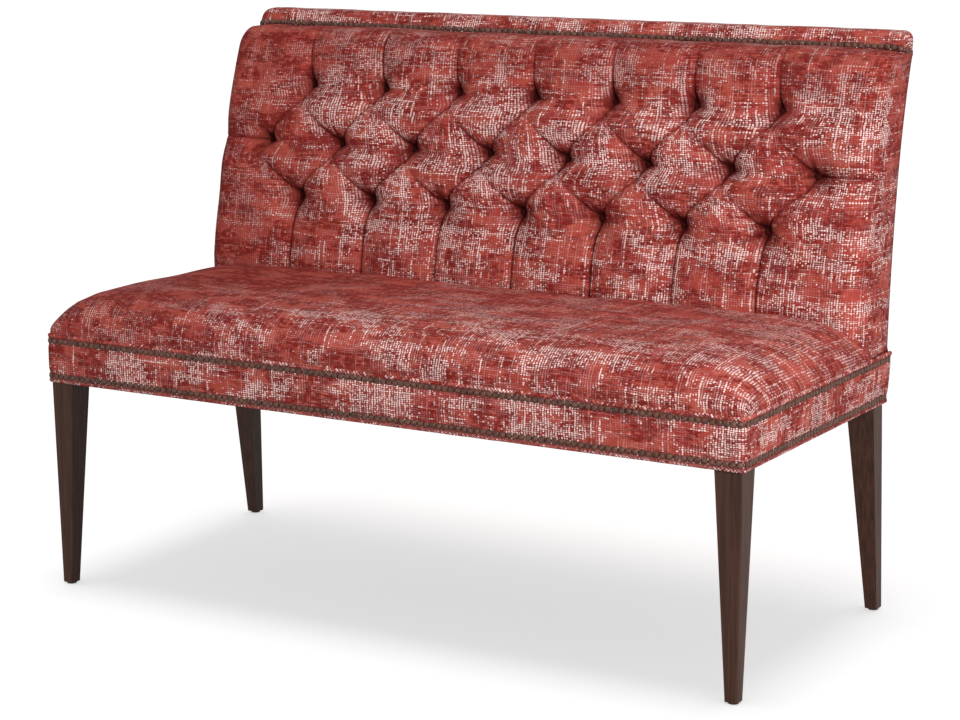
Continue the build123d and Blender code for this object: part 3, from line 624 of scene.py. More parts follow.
FINISHES = {
    "leg_wood": Grained(
        "espresso_wood", (74, 48, 38), (46, 29, 23), (260.0, 260.0, 7.0), 0.5, 0.00006, specular=0.14
    ),
    "frame_wood": Grained("raw_beech", (214, 178, 136), (184, 142, 100), (12.0, 150.0, 150.0), 0.62),
    "panel_ply": Grained("bent_ply", (220, 188, 146), (190, 150, 108), (14.0, 120.0, 120.0), 0.6),
    "board": Grained("grey_board", (142, 124, 104), (112, 96, 80), (220.0, 220.0, 220.0), 0.85),
    "foam": Grained("cut_foam", (226, 216, 188), (204, 192, 160), (700.0, 700.0, 700.0), 0.95, 0.0006),
    "burlap": Grained("jute_burlap", (176, 148, 108), (124, 98, 64), (420.0, 420.0, 420.0), 0.92, 0.0006),
    "webbing": Grained("jute_webbing", (170, 138, 94), (120, 92, 58), (360.0, 360.0, 360.0), 0.9, 0.0006),
    "twine": Grained("waxed_twine", (206, 192, 160), (170, 154, 122), (900.0, 900.0, 300.0), 0.7, 0.0002),
    "dust_cloth": Grained("black_dust_cloth", (26, 26, 28), (14, 14, 15), (520.0, 520.0, 520.0), 0.92, 0.0003),
    "nail_bronze": Grained(
        "antique_bronze",
        (116, 78, 64),
        (49, 31, 25),
        (150.0, 150.0, 150.0),
        0.56,
        0.0001,
        specular=0.3,
        metallic=0.3,
        rim_painted_shade=0.9,
    ),
    "screw_steel": Grained(
        "zinc_steel", (180, 180, 178), (140, 140, 140), (300.0, 300.0, 300.0), 0.34, metallic=1.0
    ),
    "glide": Grained("nylon_glide", (34, 30, 30), (22, 20, 20), (400.0, 400.0, 400.0), 0.5),
}


@dataclass
class Grid:
    """Rows and columns of points, with the cloth's coordinates, that become one closed mesh."""

    points: np.ndarray
    cloth: np.ndarray
    shade: np.ndarray | None = None
    wear_and_painted_shade: np.ndarray | None = None
    faces: list[tuple[int, ...]] = field(default_factory=list)
    extra: list[Three] = field(default_factory=list)
    extra_cloth: list[Pair] = field(default_factory=list)

    def index(self, row: int, column: int) -> int:
        """Number of the point at a row and column; negative values count from the end."""
        rows, columns = self.points.shape[:2]
        return (row % rows) * columns + column % columns

    def quads(self, wrap: bool = False) -> None:
        """Add a face between each four neighbours.

        Args:
            wrap: Join the last column to the first.
        """
        rows, columns = self.points.shape[:2]
        for r in range(rows - 1):
            for c in range(columns if wrap else columns - 1):
                corners = ((r, c), (r, c + 1), (r + 1, c + 1), (r + 1, c))
                self.faces.append(tuple(self.index(*corner) for corner in corners))

    def tube(self, flip: bool = False) -> None:
        """Wrap the columns into a tube and close both its ends.

        Args:
            flip: Turn all the faces over.
        """
        self.quads(wrap=True)
        columns = self.points.shape[1]
        first, last = (tuple(self.index(r, c) for c in range(columns)) for r in (0, -1))
        self.faces += [first[::-1], last]
        if flip:
            self.faces = [face[::-1] for face in self.faces]

    def add(self, point: Three, cloth: Pair = (0.0, 0.0)) -> int:
        """Add a point outside the grid and return its number."""
        self.extra.append(point)
        self.extra_cloth.append(cloth)
        return self.points.shape[0] * self.points.shape[1] + len(self.extra) - 1

    def build(self, name: str) -> Piece:
        """Make the object.

        Args:
            name: Name of the piece.

        Returns:
            The object, linked to the scene, with smooth faces.
        """
        verts = self.points.reshape(-1, 3)
        cloth = self.cloth.reshape(-1, 2)
        shade, wear_and_painted_shade = (np.zeros(len(verts)) if a is None else a.ravel() for a in (self.shade, self.wear_and_painted_shade))
        if self.extra:
            verts = np.vstack([verts, np.array(self.extra)])
            cloth = np.vstack([cloth, np.array(self.extra_cloth)])
            shade, wear_and_painted_shade = (np.concatenate([a, np.zeros(len(self.extra))]) for a in (shade, wear_and_painted_shade))
        return solid(name, verts, self.faces, cloth, shade, wear_and_painted_shade)


def two_faced(outer: np.ndarray, inner: np.ndarray, cloth: np.ndarray) -> Grid:
    """A closed sheet from its two faces, which share their place on the weave.

    Args:
        outer: Rows of points of the outer face.
        inner: Rows of points of the inner face.
        cloth: Place of each point of a face on the weave.

    Returns:
        The grid, with its faces.
    """
    points, weave = (np.concatenate([a, b[:, ::-1]], axis=1) for a, b in ((outer, inner), (cloth, cloth)))
    grid = Grid(points, weave)
    grid.tube(flip=True)
    return grid


def solid(
    name: str,
    verts: np.ndarray,
    faces: list[tuple[int, ...]],
    cloth: np.ndarray,
    shade: np.ndarray | float = 0.0,
    wear_and_painted_shade: np.ndarray | float = 0.0,
) -> Piece:
    """Make an object from points and faces, with its place on the weave, its painted shade and the share that
    hides its pale slubs.

    Args:
        name: Name of the piece.
        verts: Points, one row each.
        faces: Faces as point numbers.
        cloth: Place of each point on the weave, in metres.
        shade: Painted shade of each point, 0 to 1, deepest in a tuft or pleat.
        wear_and_painted_shade: How far the pale slubs are hidden, 0 to 1, as wear on the seat and as painted
            shade towards the left ends.

    Returns:
        The object, linked to the scene, with smooth faces.
    """
    mesh = bpy.data.meshes.new(name)
    mesh.from_pydata(verts.tolist(), [], faces)
    woven = np.zeros((len(verts), 3), np.float32)
    woven[:, :2] = cloth
    mesh.attributes.new("cloth", "FLOAT_VECTOR", "POINT").data.foreach_set("vector", woven.ravel())
    for label, values in (("shade", shade), ("wear_and_painted_shade", wear_and_painted_shade)):
        spread = np.ascontiguousarray(np.broadcast_to(np.asarray(values, np.float32), len(verts)))
        mesh.attributes.new(label, "FLOAT", "POINT").data.foreach_set("value", spread)
    mesh.polygons.foreach_set("use_smooth", np.ones(len(mesh.polygons), bool))
    mesh.validate()
    mesh.update()
    piece = bpy.data.objects.new(name, mesh)
    bpy.context.scene.collection.objects.link(piece)
    return piece


def dress(piece: Piece, material: Material, slot: str, *nodes: str) -> Piece:
    """Give a new piece its finish and its place in the frame.

    Args:
        piece: The piece.
        material: Its material.
        slot: The record's material slot; not used.
        nodes: The CAD nodes that it stands for.

    Returns:
        The same piece.
    """
    piece.data.materials.clear()
    piece.data.materials.append(material)
    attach(piece, "root")
    if nodes:
        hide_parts(*nodes)
    LOG.info("%s: %d faces", piece.name, len(piece.data.polygons))
    return piece


@dataclass(frozen=True)
class Wave:
    """Irregular waves of a height, picked by a seed, the longest of them of this length."""

    height: float
    seed: int
    length: float
    count: int = 7
    shortest: float = 0.4

    def at(self, x: np.ndarray | float, y: np.ndarray | float) -> np.ndarray:
        """Their height at each point.

        Args:
            x: First coordinate, in metres.
            y: Second coordinate, in metres.

        Returns:
            The height.
        """
        rng = np.random.default_rng(self.seed)
        total = np.zeros_like(x, dtype=float)
        for _ in range(self.count):
            turn = rng.uniform(0, 2 * math.pi)
            wave = 2 * math.pi / (self.length * rng.uniform(self.shortest, 1.0))
            total += np.sin((x * math.cos(turn) + y * math.sin(turn)) * wave + rng.uniform(0, 2 * math.pi))
        return total / math.sqrt(self.count * 2) * self.height


def ramp(value: np.ndarray | float, start: float, length: float, gain: float = 1.0) -> np.ndarray:
    """A gain that is reached over a length, from 0 at the start.

    Args:
        value: Where to read it.
        start: Where it starts to rise.
        length: How far it rises.
        gain: Its full height.

    Returns:
        The height at each value.
    """
    return gain * np.clip((value - start) / length, 0, 1)


def bell(value: np.ndarray | float, width: float) -> np.ndarray:
    """A hump of 1 at 0 that dies away over a width on both sides."""
    return np.exp(-((value / width) ** 2))


@dataclass(frozen=True)
class BackCurve:
    """Side view of the back: a rear surface of two tangent arcs, and layers offset from it."""

    seat_depth: float = 0.578
    border_top: float = 0.4505
    base_rake: float = math.radians(4.5)
    bend_rake: float = math.radians(10.5)
    lower_radius: float = 2.712
    upper_radius: float = 1.25
    back_top: float = 0.976
    low_half: float = 0.6585
    top_half: float = 0.651
    nail_proud: float = 0.0024
    step: float = 0.002

    def raw(self, offset: float, z: float) -> float:
        """Depth behind the border's front plane of a layer at a height.

        Args:
            offset: Its distance in front of the rear surface.
            z: The height.

        Returns:
            The depth.
        """
        radius = self.lower_radius
        centre_y = self.seat_depth + radius * math.cos(self.base_rake)
        centre_z = self.border_top - radius * math.sin(self.base_rake)
        if z >= centre_z + (radius + offset) * math.sin(self.bend_rake):
            shift = radius - self.upper_radius
            radius = self.upper_radius
            centre_y -= shift * math.cos(self.bend_rake)
            centre_z += shift * math.sin(self.bend_rake)
        reach, rise = radius + offset, z - centre_z
        return centre_y - math.sqrt(reach * reach - rise * rise)

    @property
    def front(self) -> float:
        """World Y of the border's front plane."""
        overall = self.raw(0.0, self.back_top) + self.nail_proud
        return self.nail_proud - overall / 2

    def layer(self, offset: float, z: float) -> float:
        """World Y of the layer at this offset in front of the rear surface, at a height."""
        return self.raw(offset, z) + self.front

    def tilt(self, offset: float, z: float) -> float:
        """Lean of a layer from upright at a height, in radians."""
        return math.atan2(self.raw(offset, z + self.step) - self.raw(offset, z - self.step), 2 * self.step)

    def half(self, z: float) -> float:
        """Half width of the padded back at a height."""
        share = (z - self.border_top) / (self.back_top - self.border_top)
        return self.low_half + (self.top_half - self.low_half) * share


@dataclass(frozen=True)
class Gathers:
    """Short gathers that fan out from each tuft: one straight up and one in each range of turns."""

    turns: tuple[Pair, ...] = ((-0.5, -0.2), (0.2, 0.5), (1.2, 5.0))
    depth: Pair = (0.0022, 0.0042)
    length: Pair = (0.026, 0.046)
    start: float = 0.006
    width: float = 0.0024
    seed: int = 5

    def at(self, x: np.ndarray, z: float, tufts: list[Pair]) -> np.ndarray:
        """Their depth along one row of the cloth.

        Args:
            x: Lattice x of each column.
            z: Height of the row.
            tufts: Place of each tuft as x and height.

        Returns:
            The depth at each column.
        """
        rng = np.random.default_rng(self.seed)
        total = np.zeros_like(x)
        for tuft_x, tuft_z in tufts:
            for turn in (0.0, *(rng.uniform(*turns) for turns in self.turns)):
                length, depth = rng.uniform(*self.length), rng.uniform(*self.depth)
                along = (x - tuft_x) * math.sin(turn) + (z - tuft_z) * math.cos(turn)
                across = np.abs((x - tuft_x) * math.cos(turn) - (z - tuft_z) * math.sin(turn))
                inside = ramp(along, 0.0, self.start) * np.clip(1 - along / length, 0, 1)
                total += depth * inside * np.exp(-across / self.width)
        return total


@dataclass
class TuftedBack:
    """The deep-tufted pad: buttons in rows of 7, 8 and 7, curved pleats between them, a rolled top and sides.

    Fields that hide pale slubs or lay shade hold where they start, the length over which they rise and their
    full height. Those of the left end, and the top's shade, are painted shade; the top's other field hides
    pale slubs on the top roll. A strength field holds values for the heights that its method names, from
    below to above. The arch of the side seam is held as height, width and length, the upper corner's fall
    as start, length and power.
    """

    curve: BackCurve
    pitch: float = 0.1567
    rows: Three = (0.6465, 0.7418, 0.8433)
    counts: tuple[int, int, int] = (7, 8, 7)
    bottom: float = 0.4508
    touch: float = 0.526
    top: float = 0.948
    valley_top: float = 0.944
    valley_layers: Pair = (0.097, 0.078)
    bulge: float = 0.038
    top_roll: float = 0.034
    side_roll: float = 0.036
    top_depth: float = 0.04
    side_depth: float = 0.07
    cells: int = 32
    edge_cells: int = 7
    lower_steps: int = 33
    upper_steps: int = 17
    roll_steps: int = 12
    outer_steps: int = 20
    side_steps: int = 8
    top_shares: Values = (0.15, 0.35, 0.6, 0.8, 1.0)
    pleat_drop: float = 0.0103
    pleat_power: float = 2.4
    pleat_span: float = 0.061
    slant: float = 0.79
    loose: float = 0.2
    line_depth: float = 0.0056
    line_width: float = 0.0019
    open_lines: Pair = (0.95, 0.68)
    pocket_line: float = 1.35
    pocket_reach: float = 0.028
    near_row: float = 0.03
    near_top: float = 0.02
    upper_strength: Values = (1.0, 1.15, 1.1, 0.7)
    lower_strength: Values = (0.9, 1.0, 1.1)
    plain_reach: Pair = (0.04, 0.02)
    plain_strength: Values = (0.85, 0.85, 1, 1, 0.75)
    left_strength: tuple[Values, ...] = ((0, 0.3, 0.55, 0.72, 0.93, 1), (1, 0.85, 0.45, 0.08, 0.08, 0.8))
    right_strength: tuple[Values, ...] = ((0, 0.5, 1), (1, 0.85, 1))
    near_tuft: float = 0.02
    funnel: float = 0.02
    funnel_power: float = 1.2
    funnel_fall: float = 0.6
    seam_start: float = 0.012
    seam_lap: float = 0.02
    seam_blend: float = 0.018
    seam_width: float = 0.028
    seam_fade: tuple[Values, ...] = ((0.64, 0.69), (1.0, 0.95, 0.6))
    swell: Wave = Wave(0.0012, 11, 0.16)
    hole_shade: Pair = (0.8, 1.4)
    line_shade: float = 0.62
    gathers: Gathers = Gathers()
    side_flat: float = 0.25
    rail_layer: float = 0.038
    rear_layer: float = 0.0023
    inner_layer: float = 0.0403
    inner_half: float = 0.648
    inner_top: float = 0.9435
    arch: Three = (0.005, 0.03, 0.13)
    corner_x: Three = (0.585, 0.066, 2.2)
    corner_z: float = 0.88
    corner_drop: float = 0.005
    top_wave: Wave = Wave(0.0015, 23, 0.22)
    top_wave_line: float = 0.3
    side_swell: float = 0.002
    left_painted_shade_on_pale: Three = (0.36, 0.2, 0.9)
    top_pale_loss: Three = (0.85, 0.05, 0.5)
    top_shade: Three = (0.86, 0.04, 0.09)
    left_painted_shade: Three = (0.48, 0.14, 0.06)
    drifts: Pair = (0.003, 0.006)
    drift_reach: float = 0.08
    bow: Values = (0.0, 0.0, 0.008, 0.014, 0.0152, 0.0)
    lean: Values = (0.0, 0.008, 0.011, 0.009, 0.005, 0.0)
    stations: Values = (0.0, 0.25, 0.5, 0.7, 0.8, 1.0)
    most_bow: float = 0.98

    @property
    def edge(self) -> float:
        """Where the last column of tufts gives way to the plain outer flat."""
        return self.edge_cells / 2 * self.pitch

    def valley(self, z: float) -> float:
        """World Y of the tuft line at a height.

        Args:
            z: The height.

        Returns:
            The Y.
        """
        low, high = self.valley_layers
        level = max(z, self.touch)
        share = (level - self.curve.border_top) / (self.valley_top - self.curve.border_top)
        return self.curve.layer(low + (high - low) * share, level)

    def spread(self, count: int) -> list[float]:
        """The x of so many tufts in a row."""
        return [(i - (count - 1) / 2) * self.pitch for i in range(count)]

    def tufts(self) -> list[Pair]:
        """Place of each tuft as x and height."""
        return [(x, z) for z, count in zip(self.rows, self.counts) for x in self.spread(count)]

    def between(self, z: float) -> tuple[int, float]:
        """The row of tufts below a height, 0 or 1, and the share of the way to the next."""
        row = int(z >= self.rows[1])
        return row, (z - self.rows[row]) / (self.rows[row + 1] - self.rows[row])

    def pleats_at(self, z: float) -> tuple[list[float], list[float]]:
        """Pleats that cross a height, as straight lattice places and as they really run.

        Args:
            z: The height.

        Returns:
            The lattice x of each pleat and its true x, from left to right.
        """
        low, _, high = self.rows
        if z <= low or z >= high:
            drift, away = (self.drifts[0], low - z) if z <= low else (self.drifts[1], z - high)
            plain = self.spread(self.counts[0])
            return plain, [x - drift * min(1.0, away / self.drift_reach) for x in plain]
        row, share = self.between(z)
        bow, lean = (float(np.interp(share, self.stations, values)) for values in (self.bow, self.lean))
        bow = min(bow, self.most_bow * (1 - share) * self.pitch / 2)
        away = share * self.pitch / 2
        pairs = []
        for foot in self.spread(self.counts[row]):
            for way in (1, -1):
                if row == 0 or abs(foot + way * self.pitch / 2) <= self.edge:
                    pairs.append((foot + way * away, foot + way * (away + bow) - lean))
        pairs.sort()
        return [a for a, _ in pairs], [b for _, b in pairs]

    def row_plan(self) -> list[Three]:
        """Rows of the cloth from the seat to the rail, as height, roll angle and share of the flat top."""
        start = self.top - self.top_roll
        stops = (self.bottom, *self.rows, start)
        plan: list[Three] = []
        counts = (self.lower_steps, self.cells, self.cells, self.upper_steps)
        for low, high, steps in zip(stops, stops[1:], counts):
            plan += [(float(z), 0.0, 0.0) for z in np.linspace(low, high, steps + 1)[:-1]]
        for angle in np.linspace(0, math.pi / 2, self.roll_steps + 1):
            plan.append((start + self.top_roll * math.sin(angle), float(angle), 0.0))
        return plan + [(self.top, math.pi / 2, share) for share in self.top_shares]

    def columns(self) -> list[Four]:
        """Columns of the right half as lattice x, share of the outer flat, side angle and share of the side."""
        step = self.pitch / 2 / self.cells
        angles = np.linspace(0, math.pi / 2, self.roll_steps + 1)[1:]
        plan = [(i * step, 0.0, 0.0, 0.0) for i in range(self.edge_cells * self.cells + 1)]
        plan += [(self.edge, share, 0.0, 0.0) for share in np.linspace(0, 1, self.outer_steps + 1)[1:]]
        plan += [(self.edge, 1.0, angle, 0.0) for angle in angles]
        sides = np.linspace(0, 1, self.side_steps + 1)[1:]
        return plan + [(self.edge, 1.0, math.pi / 2, share) for share in sides]

    def strength(self, z: float) -> float:
        """How strong the upright pleats are at a height, against 1 between the rows of tufts.

        Args:
            z: The height.

        Returns:
            The strength.
        """
        low, _, high = self.rows
        if z > high:
            places = [high, high + self.near_row, self.top - self.near_top, self.top]
            return float(np.interp(z, places, self.upper_strength))
        return float(np.interp(z, [self.bottom, self.touch, low], self.lower_strength)) if z < low else 1.0

    def relief(
        self, x: np.ndarray, z: float, lattice: list[float], side: np.ndarray
    ) -> tuple[np.ndarray, np.ndarray]:
        """How far the cloth stands in front of the tuft line along one row, and how deep its folds are.

        Args:
            x: Lattice x of each column, with the outer flat and sides run on in metres.
            z: Height of the row.
            lattice: Lattice x of the pleats that cross the row.
            side: Share of each column's way round the side roll.

        Returns:
            The height of the cloth and its shade.
        """
        low, middle, high = self.rows
        slanted = low < z < high
        tuft_x, tuft_z = np.array(self.tufts()).T
        close = np.hypot(x[:, None] - tuft_x[None, :], z - tuft_z[None, :]).min(axis=1)
        hole = np.exp(-((close / self.funnel) ** self.funnel_power))
        strength, firm = self.strength(z), self.firmness(x, z, lattice)

        near = np.min(np.abs(x[:, None] - np.array(lattice)[None, :]), axis=1) * (self.slant if slanted else 1.0)
        span = self.pleat_span if slanted else self.pitch / 2
        broad = self.pleat_drop * (1 - np.clip(near / span, 0, 1)) ** self.pleat_power
        broad = broad * (self.loose + (1 - self.loose) * firm if slanted else 1.0)

        outer = ramp(np.abs(x), self.edge, self.seam_start)
        gap = abs(z - middle)
        fade = np.interp(np.abs(x), [self.edge, *self.seam_fade[0]], self.seam_fade[1])
        past = np.abs(x) > self.edge - self.seam_lap
        reach = np.maximum(outer * fade, np.exp(-close / self.seam_blend) * past)
        seam = self.pleat_drop * reach * bell(gap, self.seam_width)

        line = np.exp(-near / self.line_width) * strength * firm
        narrow = self.line_depth * np.maximum(line * (1 - outer), reach * np.exp(-gap / self.line_width))
        open_line = self.open_lines[int(z > low)]
        narrow = narrow * (open_line + (self.pocket_line - open_line) * np.exp(-close / self.pocket_reach))

        gathers = self.gathers.at(x, z, self.tufts())
        swell = self.swell.at(x, z)
        fall = np.maximum(broad * strength * (1 - outer), seam) * (1 - self.funnel_fall * hole)
        rise = self.bulge * (1 - hole) - fall - narrow - gathers + swell * (1 - hole)
        # Painted shade in the tuft holes, along the pleat lines and in the gathers.
        shade = self.hole_shade[0] * hole ** self.hole_shade[1] + self.line_shade * narrow / self.line_depth
        shade = np.clip(shade + gathers / self.gathers.depth[1], 0, 1)
        return np.maximum(rise, 0.0) * (1 - self.side_flat * side), shade

    def firmness(self, x: np.ndarray, z: float, lattice: list[float]) -> np.ndarray:
        """How sharp the nearest pleat is at each column: the left-going ones fade out on their way up.

        Args:
            x: Lattice x of each column.
            z: Height of the row.
            lattice: Lattice x of the pleats that cross the row.

        Returns:
            A share for each column.
        """
        low, _, high = self.rows
        if not low < z < high:
            places = [self.bottom, low - self.plain_reach[0], low, high, high + self.plain_reach[1]]
            return np.full_like(x, float(np.interp(z, places, self.plain_strength)))
        row, share = self.between(z)
        if share > 1 - self.near_tuft or share < self.near_tuft:
            return np.ones_like(x)
        nearest = np.argmin(np.abs(x[:, None] - np.array(lattice)[None, :]), axis=1)
        steps = np.array(lattice)[nearest] / self.pitch + (self.counts[row] - 1) / 2
        left = np.abs(steps + share / 2 - np.round(steps + share / 2)) < self.near_tuft
        faded, firm = (float(np.interp(share, *plan)) for plan in (self.left_strength, self.right_strength))
        return np.where(left, faded, firm)

    def row(
        self, plan: np.ndarray, way: np.ndarray, z: float, angle: float, flat: float
    ) -> tuple[np.ndarray, np.ndarray, np.ndarray]:
        """One row of the pad.

        Args:
            plan: Columns as distance from the middle, share of the outer flat, side angle and share of the side.
            way: -1 for a column on the left, 1 for one on the right.
            z: Height of the row.
            angle: How far the row has gone round the roll at the top.
            flat: Its share of the flat top.

        Returns:
            The points, their place along the cloth and their shade.
        """
        lattice_x, share, turn, side = plan.T
        outer = self.curve.half(z) - self.side_roll
        signed = way * (lattice_x + share * (outer - self.edge))
        run = signed + way * (self.side_roll * turn + side * self.side_depth)
        lattice, real = self.pleats_at(z)
        rise, shade = self.relief(run, z, lattice, np.sin(turn) * 0.5 + side * 0.5)

        bent = np.interp(signed, [-outer, *lattice, outer], [-outer, *real, outer])
        x = np.where(share < 0.999, bent, signed) + way * self.side_roll * np.sin(turn)
        x = x + way * self.side_swell * np.sin(side * math.pi)
        y = self.valley(z) - rise + self.side_roll * (1 - np.cos(turn)) + self.top_roll * (1 - math.cos(angle))
        y = y + (self.curve.layer(self.rear_layer, z) - y) * side
        rail = self.curve.layer(self.rail_layer, self.top)
        y = np.where(side > 0, y, y + (np.maximum(rail, y) - y) * flat)

        height, width, length = self.arch
        arch = height * bell(z - self.rows[1], width)
        hump = np.sin(ramp(np.abs(run), self.edge, length) * math.pi) * arch
        start, length, power = self.corner_x
        corner = ramp(np.abs(x), start, length) ** power * ramp(z, self.corner_z, self.top - self.corner_z)
        sag = self.top_wave.at(signed, self.top_wave_line) * math.sin(angle)
        points = np.stack([x, y, z + hump - self.corner_drop * corner + sag], axis=1)
        # Painted shade over the top roll and towards the left end.
        for value, field_plan in ((z, self.top_shade), (-run, self.left_painted_shade)):
            shade = np.maximum(shade, ramp(value, *field_plan))
        return points, run, shade

    def build(self, cloth: Material) -> Piece:
        """Build the pad as one closed form and dress it.

        Args:
            cloth: The upholstery's material.

        Returns:
            The pad.
        """
        right = np.array(self.columns(), float)
        plan = np.vstack([right[:0:-1], right])
        way = np.repeat([-1.0, 1.0], [len(right) - 1, len(right)])
        rows = self.row_plan()
        points, weave = (np.zeros((len(rows), len(plan), size)) for size in (3, 2))
        depths, pale_loss = (np.zeros((len(rows), len(plan))) for _ in range(2))
        climb, last = 0.0, None
        for r, (z, angle, flat) in enumerate(rows):
            points[r], run, depths[r] = self.row(plan, way, z, angle, flat)
            middle_y = self.valley(z) + self.top_roll * (1 - math.cos(angle)) + flat * self.top_depth
            centre = np.array([middle_y, z])
            climb += 0.0 if last is None else float(np.hypot(*(centre - last)))
            last = centre
            weave[r, :, 0], weave[r, :, 1] = run, climb
            # Pale slubs hidden towards the left end as painted shade, and on the top roll.
            pale_loss[r] = ramp(-run, *self.left_painted_shade_on_pale) + ramp(z, *self.top_pale_loss)
        grid = Grid(points, weave, depths, np.clip(pale_loss, 0, 1))
        self.cover(grid)
        self.close(grid, rows)
        piece = dress(grid.build("tufted_back_pad"), cloth, "upholstery", "back_pad", "back_foam")
        return piece

    def cover(self, grid: Grid) -> None:
        """Add the faces, split along the slanted pleats so that each crease is an edge.

        Args:
            grid: The front of the pad.
        """
        rows, columns = grid.points.shape[:2]
        middle, start, turn = columns // 2, self.lower_steps, 2 * self.cells
        for r in range(rows - 1):
            band, step = divmod(r - start, self.cells)
            foot = 0 if band == 0 else self.cells
            for c in range(columns - 1):
                a, b = grid.index(r, c), grid.index(r, c + 1)
                d, e = grid.index(r + 1, c), grid.index(r + 1, c + 1)
                across = c - middle
                if start <= r < start + turn and abs(across) <= self.edge_cells * self.cells:
                    if (across - foot - step) % turn == 0:
                        grid.faces += [(a, b, e), (a, e, d)]
                        continue
                    if (across - foot + step + 1) % turn == 0:
                        grid.faces += [(a, b, d), (b, e, d)]
                        continue
                grid.faces.append((a, b, e, d))

    def close(self, grid: Grid, rows: list[Three]) -> None:
        """Close the pad behind, round the frame that it is pulled over.

        Args:
            grid: The front of the pad.
            rows: Its rows as height, roll angle and share of the flat top.
        """
        half, rear, inner = self.inner_half, self.rear_layer, self.inner_layer
        strips = []
        for r, (z, _, _) in enumerate(rows):
            numbers = []
            for x, offset in ((half, rear), (half, inner), (-half, inner), (-half, rear)):
                y = self.curve.layer(offset, z)
                numbers.append(grid.add((x, y, min(z, self.inner_top)), (x, y)))
            strips.append([grid.index(r, -1), *numbers, grid.index(r, 0)])
        for low, high in zip(strips, strips[1:]):
            grid.faces += [(low[i], low[i + 1], high[i + 1], high[i]) for i in range(len(low) - 1)]
        columns = range(grid.points.shape[1])
        seat, rail = ([grid.index(r, c) for c in columns] for r in (0, -1))
        grid.faces += [(*seat[::-1], *strips[0][-2:0:-1]), (*rail, *strips[-1][1:-1])]


@dataclass(frozen=True)
class Dome:
    """A low dome of rings round an axis, closed below: a nail head or a covered button."""

    radius: float
    proud: float
    sides: int
    rings: tuple[Pair, ...]
    sunk: float = 0.0

    def at(self, foot: np.ndarray, across: np.ndarray, up: np.ndarray, out: np.ndarray) -> Form:
        """The dome at one place.

        Args:
            foot: Middle of its foot.
            across: First direction of its rings.
            up: Second direction of its rings.
            out: Direction in which it stands proud.

        Returns:
            Its points, the middle of the foot and the crown last, and its faces.
        """
        points = []
        for share, rise in self.rings:
            for i in range(self.sides):
                turn = 2 * math.pi * i / self.sides
                flat = (across * math.cos(turn) + up * math.sin(turn)) * self.radius * share
                points.append(foot + flat + out * self.proud * rise)
        points += [foot - out * self.proud * self.sunk, foot + out * self.proud]
        faces: list[tuple[int, ...]] = []
        last = (len(self.rings) - 1) * self.sides
        sides = [(i, (i + 1) % self.sides) for i in range(self.sides)]
        for start in range(0, last, self.sides):
            faces += [(start + i, start + j, start + self.sides + j, start + self.sides + i) for i, j in sides]
        for i, j in sides:
            faces += [(j, i, len(points) - 2), (last + i, last + j, len(points) - 1)]
        return points, faces


def sown(name: str, domes: list[Form], cloth: np.ndarray, shade: np.ndarray | float) -> Piece:
    """Make one object of many domes.

    Args:
        name: Name of the piece.
        domes: Points and faces of each dome.
        cloth: Place of each point on the weave.
        shade: Shade of each point, or of all.

    Returns:
        The object.
    """
    verts: list[np.ndarray] = []
    faces: list[tuple[int, ...]] = []
    for points, loops in domes:
        faces += [tuple(len(verts) + i for i in loop) for loop in loops]
        verts += points
    return solid(name, np.array(verts), faces, cloth, shade)


@dataclass
class Buttons:
    """Cloth-covered buttons that sit at the bottom of the tufts."""

    back: TuftedBack
    layer: float = 0.08
    lift: float = 0.0004
    cap: Dome = Dome(
        0.0064, 0.0046, 16, ((0.55, 0.0), (0.95, 0.08), (1.0, 0.3), (0.9, 0.62), (0.62, 0.88), (0.3, 0.98))
    )

    def build(self, cloth: Material) -> Piece:
        """Build all the buttons as one piece.

        Args:
            cloth: The upholstery's material.

        Returns:
            The buttons.
        """
        domes, weave = [], []
        for x, z in self.back.tufts():
            tilt = self.back.curve.tilt(self.layer, z)
            out = np.array([0.0, -math.cos(tilt), math.sin(tilt)])
            up = np.array([0.0, math.sin(tilt), math.cos(tilt)])
            foot = np.array([x, self.back.valley(z), z]) + out * self.lift
            domes.append(self.cap.at(foot, np.array([1.0, 0.0, 0.0]), up, out))
            weave += [(point[0], z + float((point - foot) @ up)) for point in domes[-1][0]]
        # Every button point is drawn at full painted shade.
        piece = sown("tuft_button_caps", domes, np.array(weave), 1.0)
        return dress(piece, cloth, "upholstery", "tuft_buttons")


